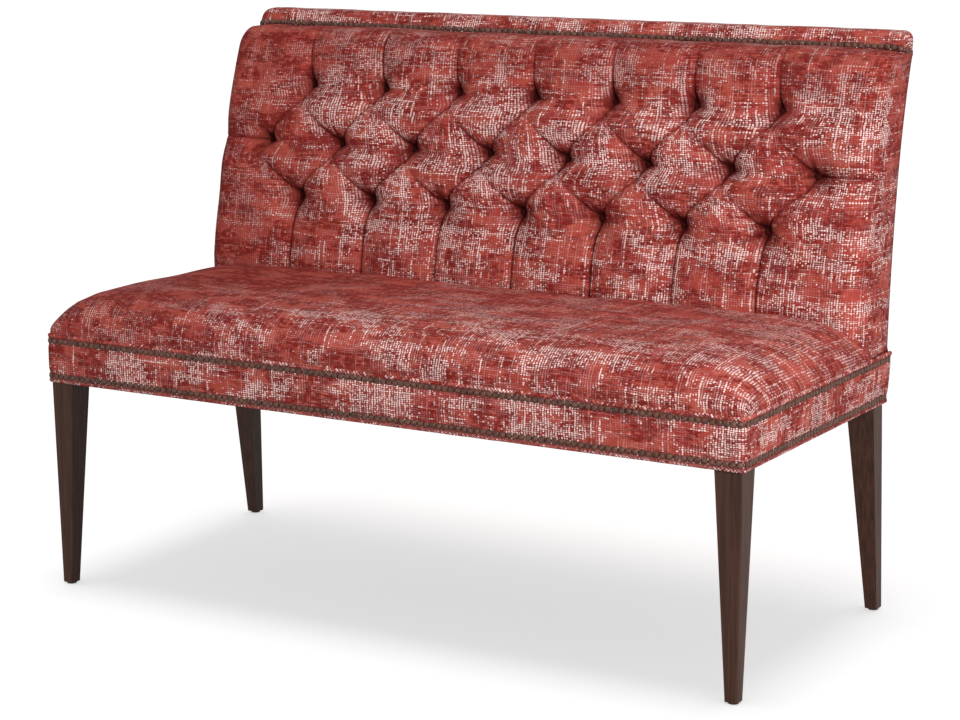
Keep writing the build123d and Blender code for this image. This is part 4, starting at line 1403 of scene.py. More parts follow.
@dataclass
class SeatCushion:
    """The tight seat: a deep crown that meets the border flush and tucks in under the back.

    Wear and shade fields hold where they start, the length over which they rise and their full height.
    Those of the left end are shares of the half width and lay painted shade, as fewer pale slubs and a
    darker colour that starts just behind the front edge; the wear's lean to the left is painted shade too.
    """

    curve: BackCurve
    back: TuftedBack
    half_width: float = 0.665
    base: float = 0.4508
    height: float = 0.0775
    front_reach: float = 0.16
    side_power: float = 18.0
    side_root: float = 1.66
    front_power: float = 4.3
    front_root: float = 2.87
    rear_share: float = 0.91
    rear_power: float = 1.4
    rear_reach: float = 0.45
    corner: float = 0.013
    tuck: float = 0.02
    tuck_share: float = 0.28
    pad_reach: float = 0.037
    pad_gap: float = 0.004
    edge_steps: int = 15
    edge_power: float = 1.1
    edge_top: float = 0.985
    half_steps: int = 56
    flat_end: float = 0.44
    flat_steps: int = 34
    tail_steps: int = 12
    wave: Wave = Wave(0.0016, 31, 0.3)
    edge_swell: Pair = (0.0015, 0.03)
    edge_pull: float = 0.0012
    edge_reach: float = 0.02
    rear_wear: Pair = (0.08, 0.16)
    wear_with_left_painted_shade: Pair = (0.85, 0.35)
    left_painted_shade_on_pale: Three = (0.32, 0.35, 0.75)
    worn_shade: float = 0.025
    left_painted_shade: Three = (0.15, 0.6, 0.17)
    front_shade: Pair = (-0.01, 0.06)
    cloth_start: Pair = (3.3, 1.7)
    hem: Pair = (0.006, 0.012)
    hem_centre: float = 0.26
    hem_corner: float = 0.15

    def crown(self, x: np.ndarray, y: np.ndarray, rear: np.ndarray) -> np.ndarray:
        """Height of the crown above the border.

        Args:
            x: Distance from the middle.
            y: Distance behind the front plane.
            rear: Depth of the seat at each x.

        Returns:
            The height at each point.
        """
        side = (1 - np.clip(np.abs(x) / self.half_width, 0, 1) ** self.side_power) ** (1 / self.side_root)
        inward = np.clip(1 - y / self.front_reach, 0, 1)
        front = (1 - inward**self.front_power) ** (1 / self.front_root)
        back = ramp(y, self.front_reach, self.rear_reach - self.front_reach) ** self.rear_power
        left = np.clip((rear - y) / self.tuck, 0, 1)
        fold = np.sqrt(np.clip(1 - (1 - left) ** 2, 0, 1))
        tucked = 1 - self.tuck_share + self.tuck_share * fold
        return self.height * side * front * (1 - (1 - self.rear_share) * back) * tucked

    def rear_edge(self, x: np.ndarray) -> np.ndarray:
        """Where the seat meets the back, behind the front plane, following the back's rounded sides.

        Args:
            x: Distance from the middle.

        Returns:
            The depth of the seat at each x.
        """
        crest = self.back.valley(self.back.touch) - self.curve.front - self.pad_reach + self.pad_gap
        roll = self.back.side_roll
        past = np.clip(np.abs(x) - (self.curve.low_half - roll), 0, roll)
        return crest + roll - np.sqrt(np.maximum(roll**2 - past**2, 0))

    def net(self) -> tuple[np.ndarray, np.ndarray]:
        """Rows and columns of the crown, close together where it is steep.

        Returns:
            The y of each point behind the front plane and the depth of the seat at each column's x.
        """
        rises = np.linspace(0, 1, self.edge_steps) ** self.edge_power * self.edge_top
        steep = self.half_width * (1 - rises**self.side_root) ** (1 / self.side_power)
        right = np.concatenate([steep, np.linspace(steep[-1], 0, self.half_steps)[1:]])
        xs = np.concatenate([-right, right[::-1][1:]])
        near = self.front_reach * (1 - (1 - rises**self.front_root) ** (1 / self.front_power))
        flat = np.linspace(near[-1], self.flat_end, self.flat_steps)[1:]
        rear = self.rear_edge(xs)
        rows = [np.full_like(xs, y) for y in np.concatenate([near, flat])]
        for share in np.linspace(0, 1, self.tail_steps)[1:]:
            rows.append(self.flat_end + (rear - self.flat_end) * math.sin(share * math.pi / 2))
        return np.stack([np.broadcast_to(xs, (len(rows), len(xs))), np.array(rows)]), rear

    def shaped(self, x: np.ndarray, y: np.ndarray, z: np.ndarray) -> tuple[np.ndarray, np.ndarray]:
        """Round the crown's corners and pull its foot in under the border's edge.

        Args:
            x: Distance of each point from the middle.
            y: Its distance behind the front plane.
            z: Its height.

        Returns:
            The changed x and y.
        """
        p = ramp(np.abs(x), self.half_width - self.corner, self.corner)
        q = np.clip((self.corner - y) / self.corner, 0, 1)
        shrink_x = p * (1 - np.sqrt(1 - q**2 / 2)) * self.corner
        shrink_y = q * (1 - np.sqrt(1 - p**2 / 2)) * self.corner
        pull = np.exp(-((z - self.base) / self.edge_reach)) * self.edge_pull
        swell = self.edge_swell[0] * np.sin(ramp(z, self.base, self.edge_swell[1]) * math.pi)
        near_side = np.exp(-(self.half_width - np.abs(x)) / self.edge_reach)
        across = np.abs(x) - shrink_x + swell * near_side - pull * near_side
        return np.sign(x) * across, y + shrink_y - (swell - pull) * np.exp(-y / self.edge_reach)

    def build(self, cloth: Material) -> Piece:
        """Build the cushion as one closed form and dress it.

        Args:
            cloth: The upholstery's material.

        Returns:
            The cushion.
        """
        (x, y), rear = self.net()
        z = self.base + self.crown(x, y, rear[None, :])
        z = z + self.wave.at(x, y) * (z - self.base) / self.height
        x, y = self.shaped(x, y, z)
        along_x, along_y = np.zeros_like(x), np.zeros_like(y)
        along_x[:, 1:] = np.cumsum(np.hypot(np.diff(x, axis=1), np.diff(z, axis=1)), axis=1)
        along_x -= along_x[:, x.shape[1] // 2][:, None]
        along_y[1:] = np.cumsum(np.hypot(np.diff(y, axis=0), np.diff(z, axis=0)), axis=0)
        weave = np.stack([along_x + self.cloth_start[0], along_y + self.cloth_start[1]], axis=2)
        leftward = -x / self.half_width
        # Wear on the seat top, which grows to the left as painted shade; the left end gets more painted shade, as
        # fewer pale slubs and a darker colour, and a little painted shade follows the whole share.
        wear_and_painted_shade = ramp(y, *self.rear_wear) * (self.wear_with_left_painted_shade[0] + self.wear_with_left_painted_shade[1] * leftward)
        wear_and_painted_shade = np.clip(np.maximum(wear_and_painted_shade, ramp(leftward, *self.left_painted_shade_on_pale)), 0, 1)
        shade = wear_and_painted_shade * self.worn_shade + ramp(leftward, *self.left_painted_shade) * ramp(y, *self.front_shade)
        grid = Grid(np.stack([x, y + self.curve.front, z], axis=2), weave, shade, wear_and_painted_shade)
        grid.quads()
        self.close(grid)
        piece = dress(grid.build("seat_crown"), cloth, "upholstery", "seat_cover", "seat_foam")
        return piece

    def close(self, grid: Grid) -> None:
        """Run the edge of the crown down inside the border and close the form below.

        Args:
            grid: The top of the crown.
        """
        rows, columns = grid.points.shape[:2]
        loop = [(0, c) for c in range(columns)] + [(r, columns - 1) for r in range(1, rows)]
        loop += [(rows - 1, c) for c in range(columns - 2, -1, -1)] + [(r, 0) for r in range(rows - 2, 0, -1)]
        inset, drop = self.hem
        under = []
        for r, c in loop:
            point = grid.points[r, c]
            inward = np.array([0.0, self.curve.front + self.hem_centre]) - point[:2]
            x, y = point[:2] + inset * np.sign(inward) * (np.abs(inward) > self.hem_corner)
            under.append(grid.add((x, y, self.base - drop), tuple(grid.cloth[r, c])))
        for i, j in zip(range(len(loop)), [*range(1, len(loop)), 0]):
            grid.faces.append((grid.index(*loop[j]), grid.index(*loop[i]), under[i], under[j]))
        grid.faces.append(tuple(under[::-1]))


@dataclass
class BorderBand:
    """The band of cloth round the front and sides, pulled in under its nail rows and folded at both edges.

    Its section is held as outsets and rises, from the inner top over the outside to the inner bottom. The
    rises of a fold count from the edge of the band, those beside the nails from the row of nails. The
    pucker at the nails is held as depth, distance from their row and width.
    """

    curve: BackCurve
    half_width: float = 0.665
    corner: float = 0.009
    bottom: float = 0.367
    top: float = 0.4505
    slant: float = 0.21
    nail_rows: Pair = (0.3782, 0.4397)
    nail_pitch: float = 0.01164
    upper_fold: tuple[Pair, ...] = (
        (-0.004, -0.001), (-0.0026, 0.0006), (-0.0004, 0.0008),
        (0.0012, -0.0006), (0.0019, -0.0026), (0.0015, -0.0046),
    )
    upper_nails: tuple[Pair, ...] = (
        (0.0006, 0.0052), (-0.0001, 0.0026), (-0.0003, 0.0), (0.0, -0.003),
        (0.0006, -0.0065), (0.0011, -0.012), (0.0013, -0.02),
    )
    middle_outset: float = 0.0014
    lower_nails: tuple[Pair, ...] = (
        (0.0013, 0.02), (0.0011, 0.012), (0.0006, 0.0065), (0.0, 0.003),
        (-0.0003, 0.0), (0.0, -0.0026), (0.0006, -0.005),
    )
    lower_fold: tuple[Pair, ...] = (
        (0.0015, 0.0042), (0.0019, 0.0022), (0.0012, 0.0004),
        (-0.0004, -0.0006), (-0.0026, -0.0004), (-0.004, 0.001),
    )
    crease_shade: float = 0.2
    stops: tuple[int, int, int] = (190, 9, 440)
    pucker: Three = (0.00035, 0.006, 0.004)
    drift: Wave = Wave(0.0006, 3, 0.12)
    drift_rise: float = 0.4
    plain_from: float = 0.01
    turned_in: float = -0.002
    cloth_start: Pair = (7.9, 0.9)
    fold_start: Pair = (21.0, 30.0)
    fold_turn: float = 0.71

    @property
    def side(self) -> float:
        """Length of the straight part of each side."""
        return self.curve.seat_depth - self.corner

    @property
    def bend(self) -> float:
        """Length of the cloth round each corner."""
        return math.pi * self.corner / 2

    def run(self) -> float:
        """Length of the band from one rear end to the other."""
        return 2 * self.side + 2 * (self.half_width - self.corner) + math.pi * self.corner

    def spot(self, along: float, z: float) -> tuple[np.ndarray, np.ndarray]:
        """Point and outward direction on the band's plan.

        Args:
            along: Distance from the left rear end.
            z: Height, which sets where the slanted rear ends lie.

        Returns:
            The point in plan, behind the front plane, and the direction out of the cloth.
        """
        if along > self.run() / 2:
            point, out = self.spot(self.run() - along, z)
            return point * [-1, 1], out * [-1, 1]
        if along < self.side:
            end = self.slant * (self.top - z)
            y = self.corner + (self.side - end) * (1 - along / self.side)
            return np.array([-self.half_width, y]), np.array([-1.0, 0.0])
        along -= self.side
        if along < self.bend:
            turn = along / self.corner
            out = np.array([-math.cos(turn), -math.sin(turn)])
            return np.array([self.corner - self.half_width, self.corner]) + out * self.corner, out
        front = min(along - self.bend, 2 * (self.half_width - self.corner))
        return np.array([self.corner - self.half_width + front, 0.0]), np.array([0.0, -1.0])

    def section(self) -> list[Pair]:
        """The band's section as outset and height, from the inner top over the outside to the inner bottom."""
        low, high = self.nail_rows
        upper = ((self.top, self.upper_fold), (high, self.upper_nails))
        lower = ((low, self.lower_nails), (self.bottom, self.lower_fold))
        above, below = ([(out, z + rise) for z, plan in half for out, rise in plan] for half in (upper, lower))
        return above + [(self.middle_outset, (high + low) / 2)] + below

    def build(self, cloth: Material) -> Piece:
        """Build the band as one closed form and dress it.

        Args:
            cloth: The upholstery's material.

        Returns:
            The band.
        """
        length, turned, folds = self.run(), self.side + self.bend, len(self.upper_fold)
        ends = (0.0, self.side, turned, length - self.side - self.bend, length - self.side, length)
        counts = (*self.stops, *self.stops[1::-1])
        stops = [np.linspace(low, high, count) for low, high, count in zip(ends, ends[1:], counts)]
        alongs = np.unique(np.round(np.concatenate(stops), 7))
        section = self.section()
        points, weave = (np.zeros((len(alongs), len(section), size)) for size in (3, 2))
        depth, middle, width = self.pucker
        for i, along in enumerate(alongs):
            pucker = math.cos(2 * math.pi * along / self.nail_pitch) * depth
            drift = float(self.drift.at(along, 0.0))
            for j, (outset, z) in enumerate(section):
                plan, out = self.spot(float(along), z)
                near = min(abs(z - row) for row in self.nail_rows)
                moved = pucker * bell(near - middle, width) + drift * (near > self.plain_from)
                plan = plan + out * (outset + (moved if outset > self.turned_in else 0))
                rise = self.drift_rise * drift if j < folds else 0
                points[i, j] = (plan[0], plan[1] + self.curve.front, z + rise)
                weave[i, j] = (along + self.cloth_start[0], z + self.cloth_start[1])
                if not folds <= j < len(section) - folds:
                    turned_x, turned_z = ((along + z) * self.fold_turn, (z - along) * self.fold_turn)
                    weave[i, j] = (turned_x + self.fold_start[0], turned_z + self.fold_start[1])
        # Painted shade along the creases of both folds.
        creases = np.zeros(len(section))
        creases[[folds - 1, folds, -folds - 1, -folds]] = self.crease_shade
        grid = Grid(points, weave, np.broadcast_to(creases, points.shape[:2]))
        grid.tube(flip=True)
        return dress(grid.build("border_band"), cloth, "upholstery", "seat_border")


@dataclass
class NailRows:
    """Domed nail heads, close together along the border and the top rail.

    The bend of the rail row holds where it starts, the length that it takes and how far it falls.
    """

    curve: BackCurve
    band: BorderBand
    dome: Dome = Dome(
        0.00574, 0.0031, 12, ((0.9, -0.12), (1.0, 0.06), (0.93, 0.36), (0.74, 0.68), (0.42, 0.92)), 0.12
    )
    ring_shades: Values = (1.0, 1.0, 0.7, 0.2, 0.0)
    lean: float = 0.05
    stray: float = 0.00012
    sink: float = 0.0002
    first: float = 1.6
    rail_layer: float = 0.038
    rail_height: float = 0.951
    rail_half: float = 0.6445
    rail_end: float = 0.651
    rail_count: int = 110
    rail_bend: Three = (0.618, 0.0265, 0.002)
    rail_power: float = 1.6
    end_steps: Values = (0.008, 0.0196, 0.0312)

    def head(self, foot: np.ndarray, out: np.ndarray, rng: np.random.Generator) -> Form:
        """One nail head.

        Args:
            foot: Middle of the head on the cloth.
            out: Direction out of the cloth.
            rng: Source of the small tilts.

        Returns:
            Its points and faces.
        """
        out = out / np.linalg.norm(out) + rng.normal(0, self.lean, 3)
        out /= np.linalg.norm(out)
        across = np.cross(out, [0.0, 0.0, 1.0])
        across /= np.linalg.norm(across)
        return self.dome.at(foot, across, np.cross(across, out), out)

    def row(self, name: str, feet: list[Foot], metal: Material, node: str) -> None:
        """Build one row of heads as one piece and dress it.

        Args:
            name: Name of the piece.
            feet: Foot and outward direction of each head.
            metal: The heads' material.
            node: The CAD node that the row stands for.
        """
        rng = np.random.default_rng(len(feet))
        # Painted shade on the outer rings of each head.
        one = np.concatenate([np.repeat(self.ring_shades, self.dome.sides), [1.0, 0.0]])
        heads = [self.head(foot + rng.normal(0, self.stray, 3), out, rng) for foot, out in feet]
        place = np.concatenate([points for points, _ in heads])[:, :2]
        dress(sown(name, heads, place, np.tile(one, len(feet))), metal, "nail_bronze", node)

    def border_feet(self, z: float) -> list[Foot]:
        """Foot and outward direction of each head of a border row at a height.

        Args:
            z: The height.

        Returns:
            A foot for each head.
        """
        start = self.dome.radius * self.first
        length = self.band.run() - 2 * start
        count = round(length / self.band.nail_pitch)
        feet = []
        for i in range(count + 1):
            plan, out = self.band.spot(start + length * i / count, z)
            x, y = plan - out * self.sink
            feet.append((np.array([x, y + self.curve.front, z]), np.array([*out, 0.0])))
        return feet

    def rail_feet(self) -> list[Foot]:
        """Foot and outward direction of each head of the rail row, the ones round its ends last.

        Returns:
            A foot for each head.
        """
        bend, reach, drop = self.rail_bend
        feet = []
        for i in range(self.rail_count):
            x = self.rail_half * (2 * i / (self.rail_count - 1) - 1)
            z = self.rail_height - drop * (max(0.0, abs(x) - bend) / reach) ** self.rail_power
            tilt = self.curve.tilt(self.rail_layer, z)
            y = self.curve.layer(self.rail_layer + self.sink, z)
            feet.append((np.array([x, y, z]), np.array([0.0, -math.cos(tilt), math.sin(tilt)])))
        _, y, z = feet[0][0]
        tilt = self.curve.tilt(self.rail_layer, z)
        for way in (-1.0, 1.0):
            for step in self.end_steps:
                place = [way * self.rail_end, y + step * math.cos(tilt), z - step * math.sin(tilt)]
                feet.append((np.array(place), np.array([way, 0.0, 0.0])))
        return feet

    def build(self, metal: Material) -> None:
        """Build the two border rows and the rail row.

        Args:
            metal: The heads' material.
        """
        low, high = self.band.nail_rows
        self.row("upper_border_nails", self.border_feet(high), metal, "seat_nails_upper")
        self.row("lower_border_nails", self.border_feet(low), metal, "seat_nails_lower")
        self.row("rail_nails", self.rail_feet(), metal, "back_nails")


@dataclass
class RailCover:
    """The cloth over the top rail, tight over its edges and rounded at both upper corners.

    The swells are those of the front and the top. The inset at the ends holds its depth and its length,
    the turns round a corner the first, the last and their count.
    """

    curve: BackCurve
    half: float = 0.651
    top: float = 0.976
    foot: float = 0.9443
    front: float = 0.038
    corner: float = 0.019
    edge: float = 0.006
    edge_turns: Values = (0.35, 0.75, 1.15)
    swell: Pair = (0.0004, 0.0006)
    columns: int = 60
    corner_turns: tuple[float, float, int] = (0.2, 1.5, 9)
    end_inset: Pair = (0.004, 0.005)
    wave: Wave = Wave(0.0005, 13, 0.14)
    still_below: float = 0.004
    cloth_start: Pair = (11.3, 5.1)
    end_start: Pair = (14.6, 8.2)

    def section(self, top: float, inset: float) -> list[Pair]:
        """The section as offset from the rear surface and height.

        Args:
            top: Height of the section's top.
            inset: How far the section is drawn in at the ends of the rail.

        Returns:
            The section's points, from the front foot over the top to the rear foot.
        """
        r = self.edge
        high, front, rear = top - inset, self.front - inset, inset
        points = [(front, self.foot), (front + self.swell[0], (self.foot + high - r) / 2), (front, high - r)]
        for turn in self.edge_turns:
            points.append((front - r + r * math.cos(turn), high - r + r * math.sin(turn)))
        points += [(front - r, high), ((front + rear) / 2, high + self.swell[1]), (rear + r, high)]
        for turn in reversed(self.edge_turns):
            points.append((rear + r - r * math.cos(turn), high - r + r * math.sin(turn)))
        return points + [(rear, high - r), (rear, self.foot)]

    def column(self, x: float) -> tuple[list[Three], list[Pair]]:
        """One section of the cover.

        Args:
            x: Its distance from the middle.

        Returns:
            Its points and their places on the weave.
        """
        reach = self.half - self.corner
        past = min(max(0.0, abs(x) - reach), self.corner)
        drop = self.corner - math.sqrt(max(self.corner**2 - past**2, 0.0))
        deep, length = self.end_inset
        inset = deep * max(0.0, (abs(x) - self.half + length) / length) ** 2
        high = max(self.top - drop, self.foot + 2 * self.edge)
        wave = float(self.wave.at(x, 0.0))
        points, weave, climb, last = [], [], 0.0, None
        for offset, z in self.section(high, inset):
            y = self.curve.layer(offset, z)
            climb += 0.0 if last is None else math.hypot(y - last[0], z - last[1])
            last = (y, z)
            points.append((x, y, z + (wave if z > self.foot + self.still_below else 0.0)))
            run = abs(x) if len(points) < 4 else abs(x) - past + self.corner * math.asin(past / self.corner)
            place = (math.copysign(run, x) + self.cloth_start[0], climb + self.cloth_start[1])
            on_end = abs(x) >= self.half
            weave.append((y + self.end_start[0], z + self.end_start[1]) if on_end else place)
        return points, weave

    def build(self, cloth: Material) -> Piece:
        """Build the cover as one closed form and dress it.

        Args:
            cloth: The upholstery's material.

        Returns:
            The cover.
        """
        reach = self.half - self.corner
        right = [float(x) for x in np.linspace(0, reach, self.columns)]
        right += [reach + self.corner * math.sin(turn) for turn in np.linspace(*self.corner_turns)] + [self.half]
        made = [self.column(x) for x in [-x for x in reversed(right[1:])] + right]
        grid = Grid(*(np.array(values) for values in zip(*made)))
        grid.tube()
        return dress(grid.build("top_rail_cloth"), cloth, "upholstery", "top_rail_cover")


@dataclass
class OutsideBack:
    """The plain cloth behind, stretched over a board and turned under along its edges.

    The hem holds its height, its distance from the edge and its width, the fullness its depth and length.
    """

    curve: BackCurve
    top: float = 0.944
    bottom: float = 0.367
    seat_half: float = 0.6605
    slant: float = 0.21
    thickness: float = 0.0018
    rows: tuple[int, int] = (14, 70)
    columns: int = 130
    flat_share: float = 0.98
    hem_shares: Values = (0.988, 0.994, 0.998, 1.0)
    least: float = 0.0005
    hem: Three = (0.0012, 0.004, 0.003)
    hem_fall: float = 0.0012
    full: Pair = (0.0016, 0.05)
    wave: Wave = Wave(0.0006, 47, 0.35)
    wave_start: float = 0.03
    sunk: float = 0.0004
    cloth_start: Pair = (15.2, 9.4)

    def build(self, cloth: Material) -> Piece:
        """Build the sheet as one closed form and dress it.

        Args:
            cloth: The sheet's material.

        Returns:
            The sheet.
        """
        seat = self.curve.border_top
        lower, upper = np.linspace(self.bottom, seat, self.rows[0]), np.linspace(seat, self.top, self.rows[1])
        heights = np.concatenate([lower, upper[1:]])
        flat = np.linspace(-self.flat_share, self.flat_share, self.columns)
        shares = np.concatenate([[-share for share in self.hem_shares[::-1]], flat, self.hem_shares])
        climb = np.concatenate([[0.0], np.cumsum(np.diff(heights))])
        outer, weave = (np.zeros((len(heights), len(shares), size)) for size in (3, 2))
        proud, middle, width = self.hem
        for r, z in enumerate(heights):
            wide = self.curve.half(z) if z > seat else self.seat_half
            plane = self.curve.front + self.curve.seat_depth - self.slant * (seat - z)
            x, y = shares * wide, self.curve.layer(0.0, z) if z > seat else plane
            inward = np.minimum((1 - np.abs(shares)) * wide, min(self.top - z, z - self.bottom) + self.least)
            turned = proud * bell(inward - middle, width) - proud * np.exp(-inward / self.hem_fall)
            full = self.full[0] * (1 - np.exp(-inward / self.full[1]))
            full = full + self.wave.at(x, z) * (1 - np.exp(-inward / self.wave_start))
            outer[r, :, 0], outer[r, :, 1], outer[r, :, 2] = x, y + turned + full - self.sunk, z
            weave[r, :, 0], weave[r, :, 1] = x + self.cloth_start[0], climb[r] + self.cloth_start[1]
        grid = two_faced(outer, outer - np.array([0.0, self.thickness, 0.0]), weave)
        piece = dress(grid.build("outside_back_cloth"), cloth, "upholstery", "outside_back_cover")
        return piece


@dataclass
class DustCloth:
    """The thin black cloth under the seat, with a slight sag and closer rows along its hem."""

    curve: BackCurve
    half_width: float = 0.6603
    front: float = 0.0046
    level: float = 0.3712
    thickness: float = 0.0008
    leg: float = 0.0478
    hem_x: Values = (-1, -0.985, -0.97, 0.97, 0.985, 1)
    hem_y: Values = (0, 0.015, 0.03, 0.97, 0.985, 1)
    net: tuple[int, int] = (70, 34)
    sag: float = 0.0028
    wave: Wave = Wave(0.0005, 61, 0.25)
    sag_power: int = 6

    def marks(self, hem: Values, count: int) -> np.ndarray:
        """Shares of the way across: the hem's own on both sides and even steps between."""
        return np.concatenate([hem[:2], np.linspace(hem[2], hem[3], count), hem[4:]])

    def build(self, cloth: Material) -> Piece:
        """Build the sheet as one closed form and dress it.

        Args:
            cloth: The sheet's material.

        Returns:
            The sheet.
        """
        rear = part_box("dust_cover")[1].y
        near = self.curve.front + self.front
        xs = self.marks(self.hem_x, self.net[0]) * self.half_width
        x, y = np.meshgrid(xs, self.marks(self.hem_y, self.net[1]) * (rear - near) + near)
        beside_leg = (y < near + self.leg) | (y > rear - self.leg)
        cut_in = np.minimum(np.abs(x), self.half_width - self.leg)
        x = np.sign(x) * np.where(beside_leg, cut_in, np.abs(x))
        share_x = 1 - np.clip(np.abs(x) / self.half_width, 0, 1) ** self.sag_power
        share_y = 1 - np.abs((y - near) / (rear - near) * 2 - 1) ** self.sag_power
        sag = self.sag * share_x * share_y + self.wave.at(x, y) * share_x * share_y
        lower = np.stack([x, y, self.level - sag], axis=2)
        grid = two_faced(lower, lower + np.array([0, 0, self.thickness]), lower[:, :, :2])
        piece = dress(grid.build("dust_cloth_under_seat"), cloth, "dust_cloth", "dust_cover")
        return piece


@dataclass(frozen=True)
class Lamp:
    """A soft disk of light, or an even light from far off where it has an angle instead of a size."""

    name: str
    power: float
    place: Three
    target: Three = (0.0, 0.0, 0.0)
    size: float = 0.0
    angle: float = 0.0

    def hang(self) -> None:
        """Add the light and turn it towards its target."""
        data = bpy.data.lights.new(self.name, "SUN" if self.angle else "AREA")
        data.energy = self.power
        if self.angle:
            data.angle = math.radians(self.angle)
        else:
            data.shape, data.size = "DISK", self.size
        light = bpy.data.objects.new(self.name, data)
        light.location = self.place
        light.rotation_euler = (Vector(self.target) - Vector(self.place)).to_track_quat("-Z", "Y").to_euler()
        bpy.context.scene.collection.objects.link(light)


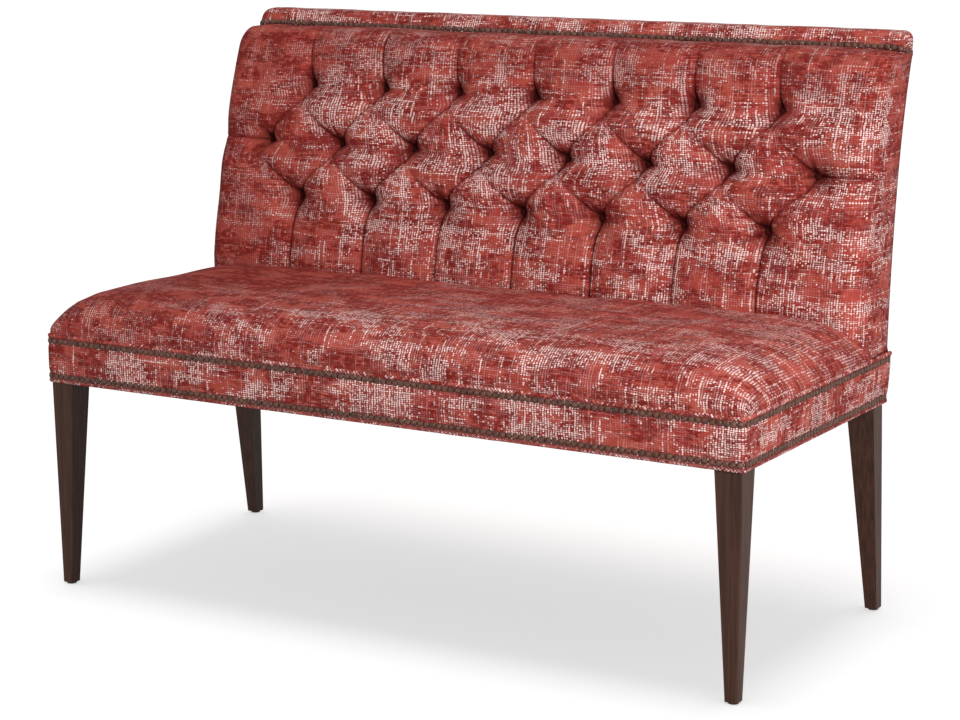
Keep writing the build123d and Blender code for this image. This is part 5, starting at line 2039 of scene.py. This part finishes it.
@dataclass
class Studio:
    """White floor, soft light and the camera at the photograph's place."""

    lens: float = 96.3
    sensor: float = 36.0
    sight: Pair = (0.1, 200.0)
    place: Three = (2.2176, -3.7253, 1.3014)
    yaw: float = 30.68
    pitch: float = 11.61
    roll: float = -0.23
    lamps: tuple[Lamp, ...] = (
        Lamp("key", 202.0, (3.5, -2.8, 2.0), (0.2, 0.0, 0.5), 1.8),
        Lamp("fill", 9.0, (-2.4, -2.6, 1.9), (-0.2, 0.0, 0.5), 1.6),
        Lamp("rear", 60.0, (-1.6, 3.6, 1.5), (0.0, 0.3, 0.6), 2.0),
        Lamp("top", 0.84, (0.0, 0.0, 3.0), angle=24.0),
        Lamp("leg_front", 46.0, (-0.6, -4.0, 0.5), (-0.6, 0.0, 0.2), 1.2),
    )
    white: Four = (1.0, 1.0, 1.0, 1.0)
    ground: Four = (0.9, 0.9, 0.9, 1.0)
    ground_half: float = 90.0
    ground_glow: float = 0.6
    sky: float = 0.25

    def camera(self) -> None:
        """Make the camera and set it."""
        yaw, pitch, roll = (math.radians(a) for a in (self.yaw, self.pitch, self.roll))
        up = np.array([0.0, 0.0, 1.0])
        level = np.array([-math.sin(yaw), math.cos(yaw), 0.0])
        right = np.array([math.cos(yaw), math.sin(yaw), 0.0])
        ahead = level * math.cos(pitch) - up * math.sin(pitch)
        above = up * math.cos(pitch) + level * math.sin(pitch)
        across = right * math.cos(roll) + above * math.sin(roll)
        above = above * math.cos(roll) - right * math.sin(roll)
        data = bpy.data.cameras.new("camera")
        data.lens, data.sensor_width, data.sensor_fit = self.lens, self.sensor, "HORIZONTAL"
        data.clip_start, data.clip_end = self.sight
        camera = bpy.data.objects.new("camera", data)
        turn = np.eye(4)
        turn[:3, 0], turn[:3, 1], turn[:3, 2], turn[:3, 3] = across, above, -ahead, self.place
        camera.matrix_world = Matrix(turn.tolist())
        bpy.context.scene.collection.objects.link(camera)
        bpy.context.scene.camera = camera

    def seen(self, tree: bpy.types.NodeTree) -> Socket:
        """A value of 1 for what the camera, gloss and glass see, else 0.

        Args:
            tree: Tree of a material or of the world.

        Returns:
            The value.
        """
        rays = tree.nodes.new("ShaderNodeLightPath").outputs
        total = rays["Is Camera Ray"]
        for name in ("Is Glossy Ray", "Is Transmission Ray"):
            node = wired(tree, "ShaderNodeMath", total, rays[name])
            node.operation, node.use_clamp = "ADD", True
            total = node.outputs[0]
        return total

    def floor(self) -> Piece:
        """Add the white floor, which keeps the shadow.

        Returns:
            The floor.
        """
        material = bpy.data.materials.new("white_floor")
        material.use_nodes = True
        tree = material.node_tree
        tree.nodes.clear()
        matt = wired(tree, "ShaderNodeBsdfDiffuse", self.ground)
        gain = wired(tree, "ShaderNodeMath", self.seen(tree), self.ground_glow)
        gain.operation = "MULTIPLY"
        glow = wired(tree, "ShaderNodeEmission", self.white, gain.outputs[0])
        both = wired(tree, "ShaderNodeAddShader", matt.outputs[0], glow.outputs[0])
        wired(tree, "ShaderNodeOutputMaterial", both.outputs[0])
        half = self.ground_half
        verts = np.array([(-half, -half, 0), (half, -half, 0), (half, half, 0), (-half, half, 0)], float)
        ground = solid("floor", verts, [(0, 1, 2, 3)], verts[:, :2].copy())
        ground.data.materials.append(material)
        return ground

    def aim(self, state: str, pieces: list[Piece], *lamps: str) -> None:
        """Let lamps light some pieces alone, or all but these.

        Args:
            state: INCLUDE to light these alone, EXCLUDE to spare them.
            pieces: The pieces.
            lamps: Names of the lamps.
        """
        group = bpy.data.collections.new("lit_by_" + lamps[0] if state == "INCLUDE" else "spared_by_" + lamps[0])
        for piece in pieces:
            group.objects.link(piece)
        for member in group.collection_objects:
            member.light_linking.link_state = state
        for lamp in lamps:
            bpy.data.objects[lamp].light_linking.receiver_collection = group

    def world(self) -> None:
        """White where the world is seen, a weaker sky where it only lights."""
        world = bpy.data.worlds.new("studio")
        world.use_nodes = True
        bpy.context.scene.world = world
        tree = world.node_tree
        tree.nodes.clear()
        sky, white = (wired(tree, "ShaderNodeBackground", self.white, power) for power in (self.sky, 1.0))
        mix = wired(tree, "ShaderNodeMixShader", self.seen(tree), sky.outputs[0], white.outputs[0])
        wired(tree, "ShaderNodeOutputWorld", mix.outputs[0])

    def build(self) -> None:
        """Set the world, the lights, the floor and the camera."""
        bpy.context.scene.view_settings.view_transform = "Standard"
        self.world()
        for lamp in self.lamps:
            lamp.hang()
        ground = self.floor()
        left_legs = [frame["nodes"][node] for node in ("front_leg_left", "rear_leg_post_left")]
        self.aim("EXCLUDE", [ground, *left_legs], "key")
        self.aim("EXCLUDE", [ground], "fill", "rear")
        self.aim("INCLUDE", left_legs, "leg_front")
        self.camera()


def dress_frame(shown: dict[str, Piece]) -> None:
    """Give each CAD piece whose material slot has a finish here that finish, one material shared by each slot.

    Args:
        shown: The CAD pieces by node name.
    """
    slots = {part["node"]: part["material_slot"] for part in frame["record"]["subparts"]}
    made: dict[str, Material] = {}
    for node, piece in shown.items():
        slot = slots[node]
        if slot not in FINISHES:
            continue
        if slot not in made:
            made[slot] = FINISHES[slot].make()
        piece.data.materials.clear()
        piece.data.materials.append(made[slot])
        LOG.info("%s: %s", node, FINISHES[slot].name)


def main() -> None:
    """Build and dress every piece, then the studio."""
    logging.basicConfig(level=logging.INFO, format="%(message)s")
    cloth = Chenille().make()
    dress_frame(frame["nodes"])
    curve = BackCurve()
    back = TuftedBack(curve)
    back.build(cloth)
    Buttons(back).build(cloth)
    SeatCushion(curve, back).build(cloth)
    band = BorderBand(curve)
    band.build(cloth)
    RailCover(curve).build(cloth)
    OutsideBack(curve).build(cloth)
    metal = frame["nodes"]["back_nails"].data.materials[0]
    NailRows(curve, band).build(metal)
    DustCloth(curve).build(frame["nodes"]["dust_cover"].data.materials[0])
    Studio().build()


if __name__ == "__main__":
    main()
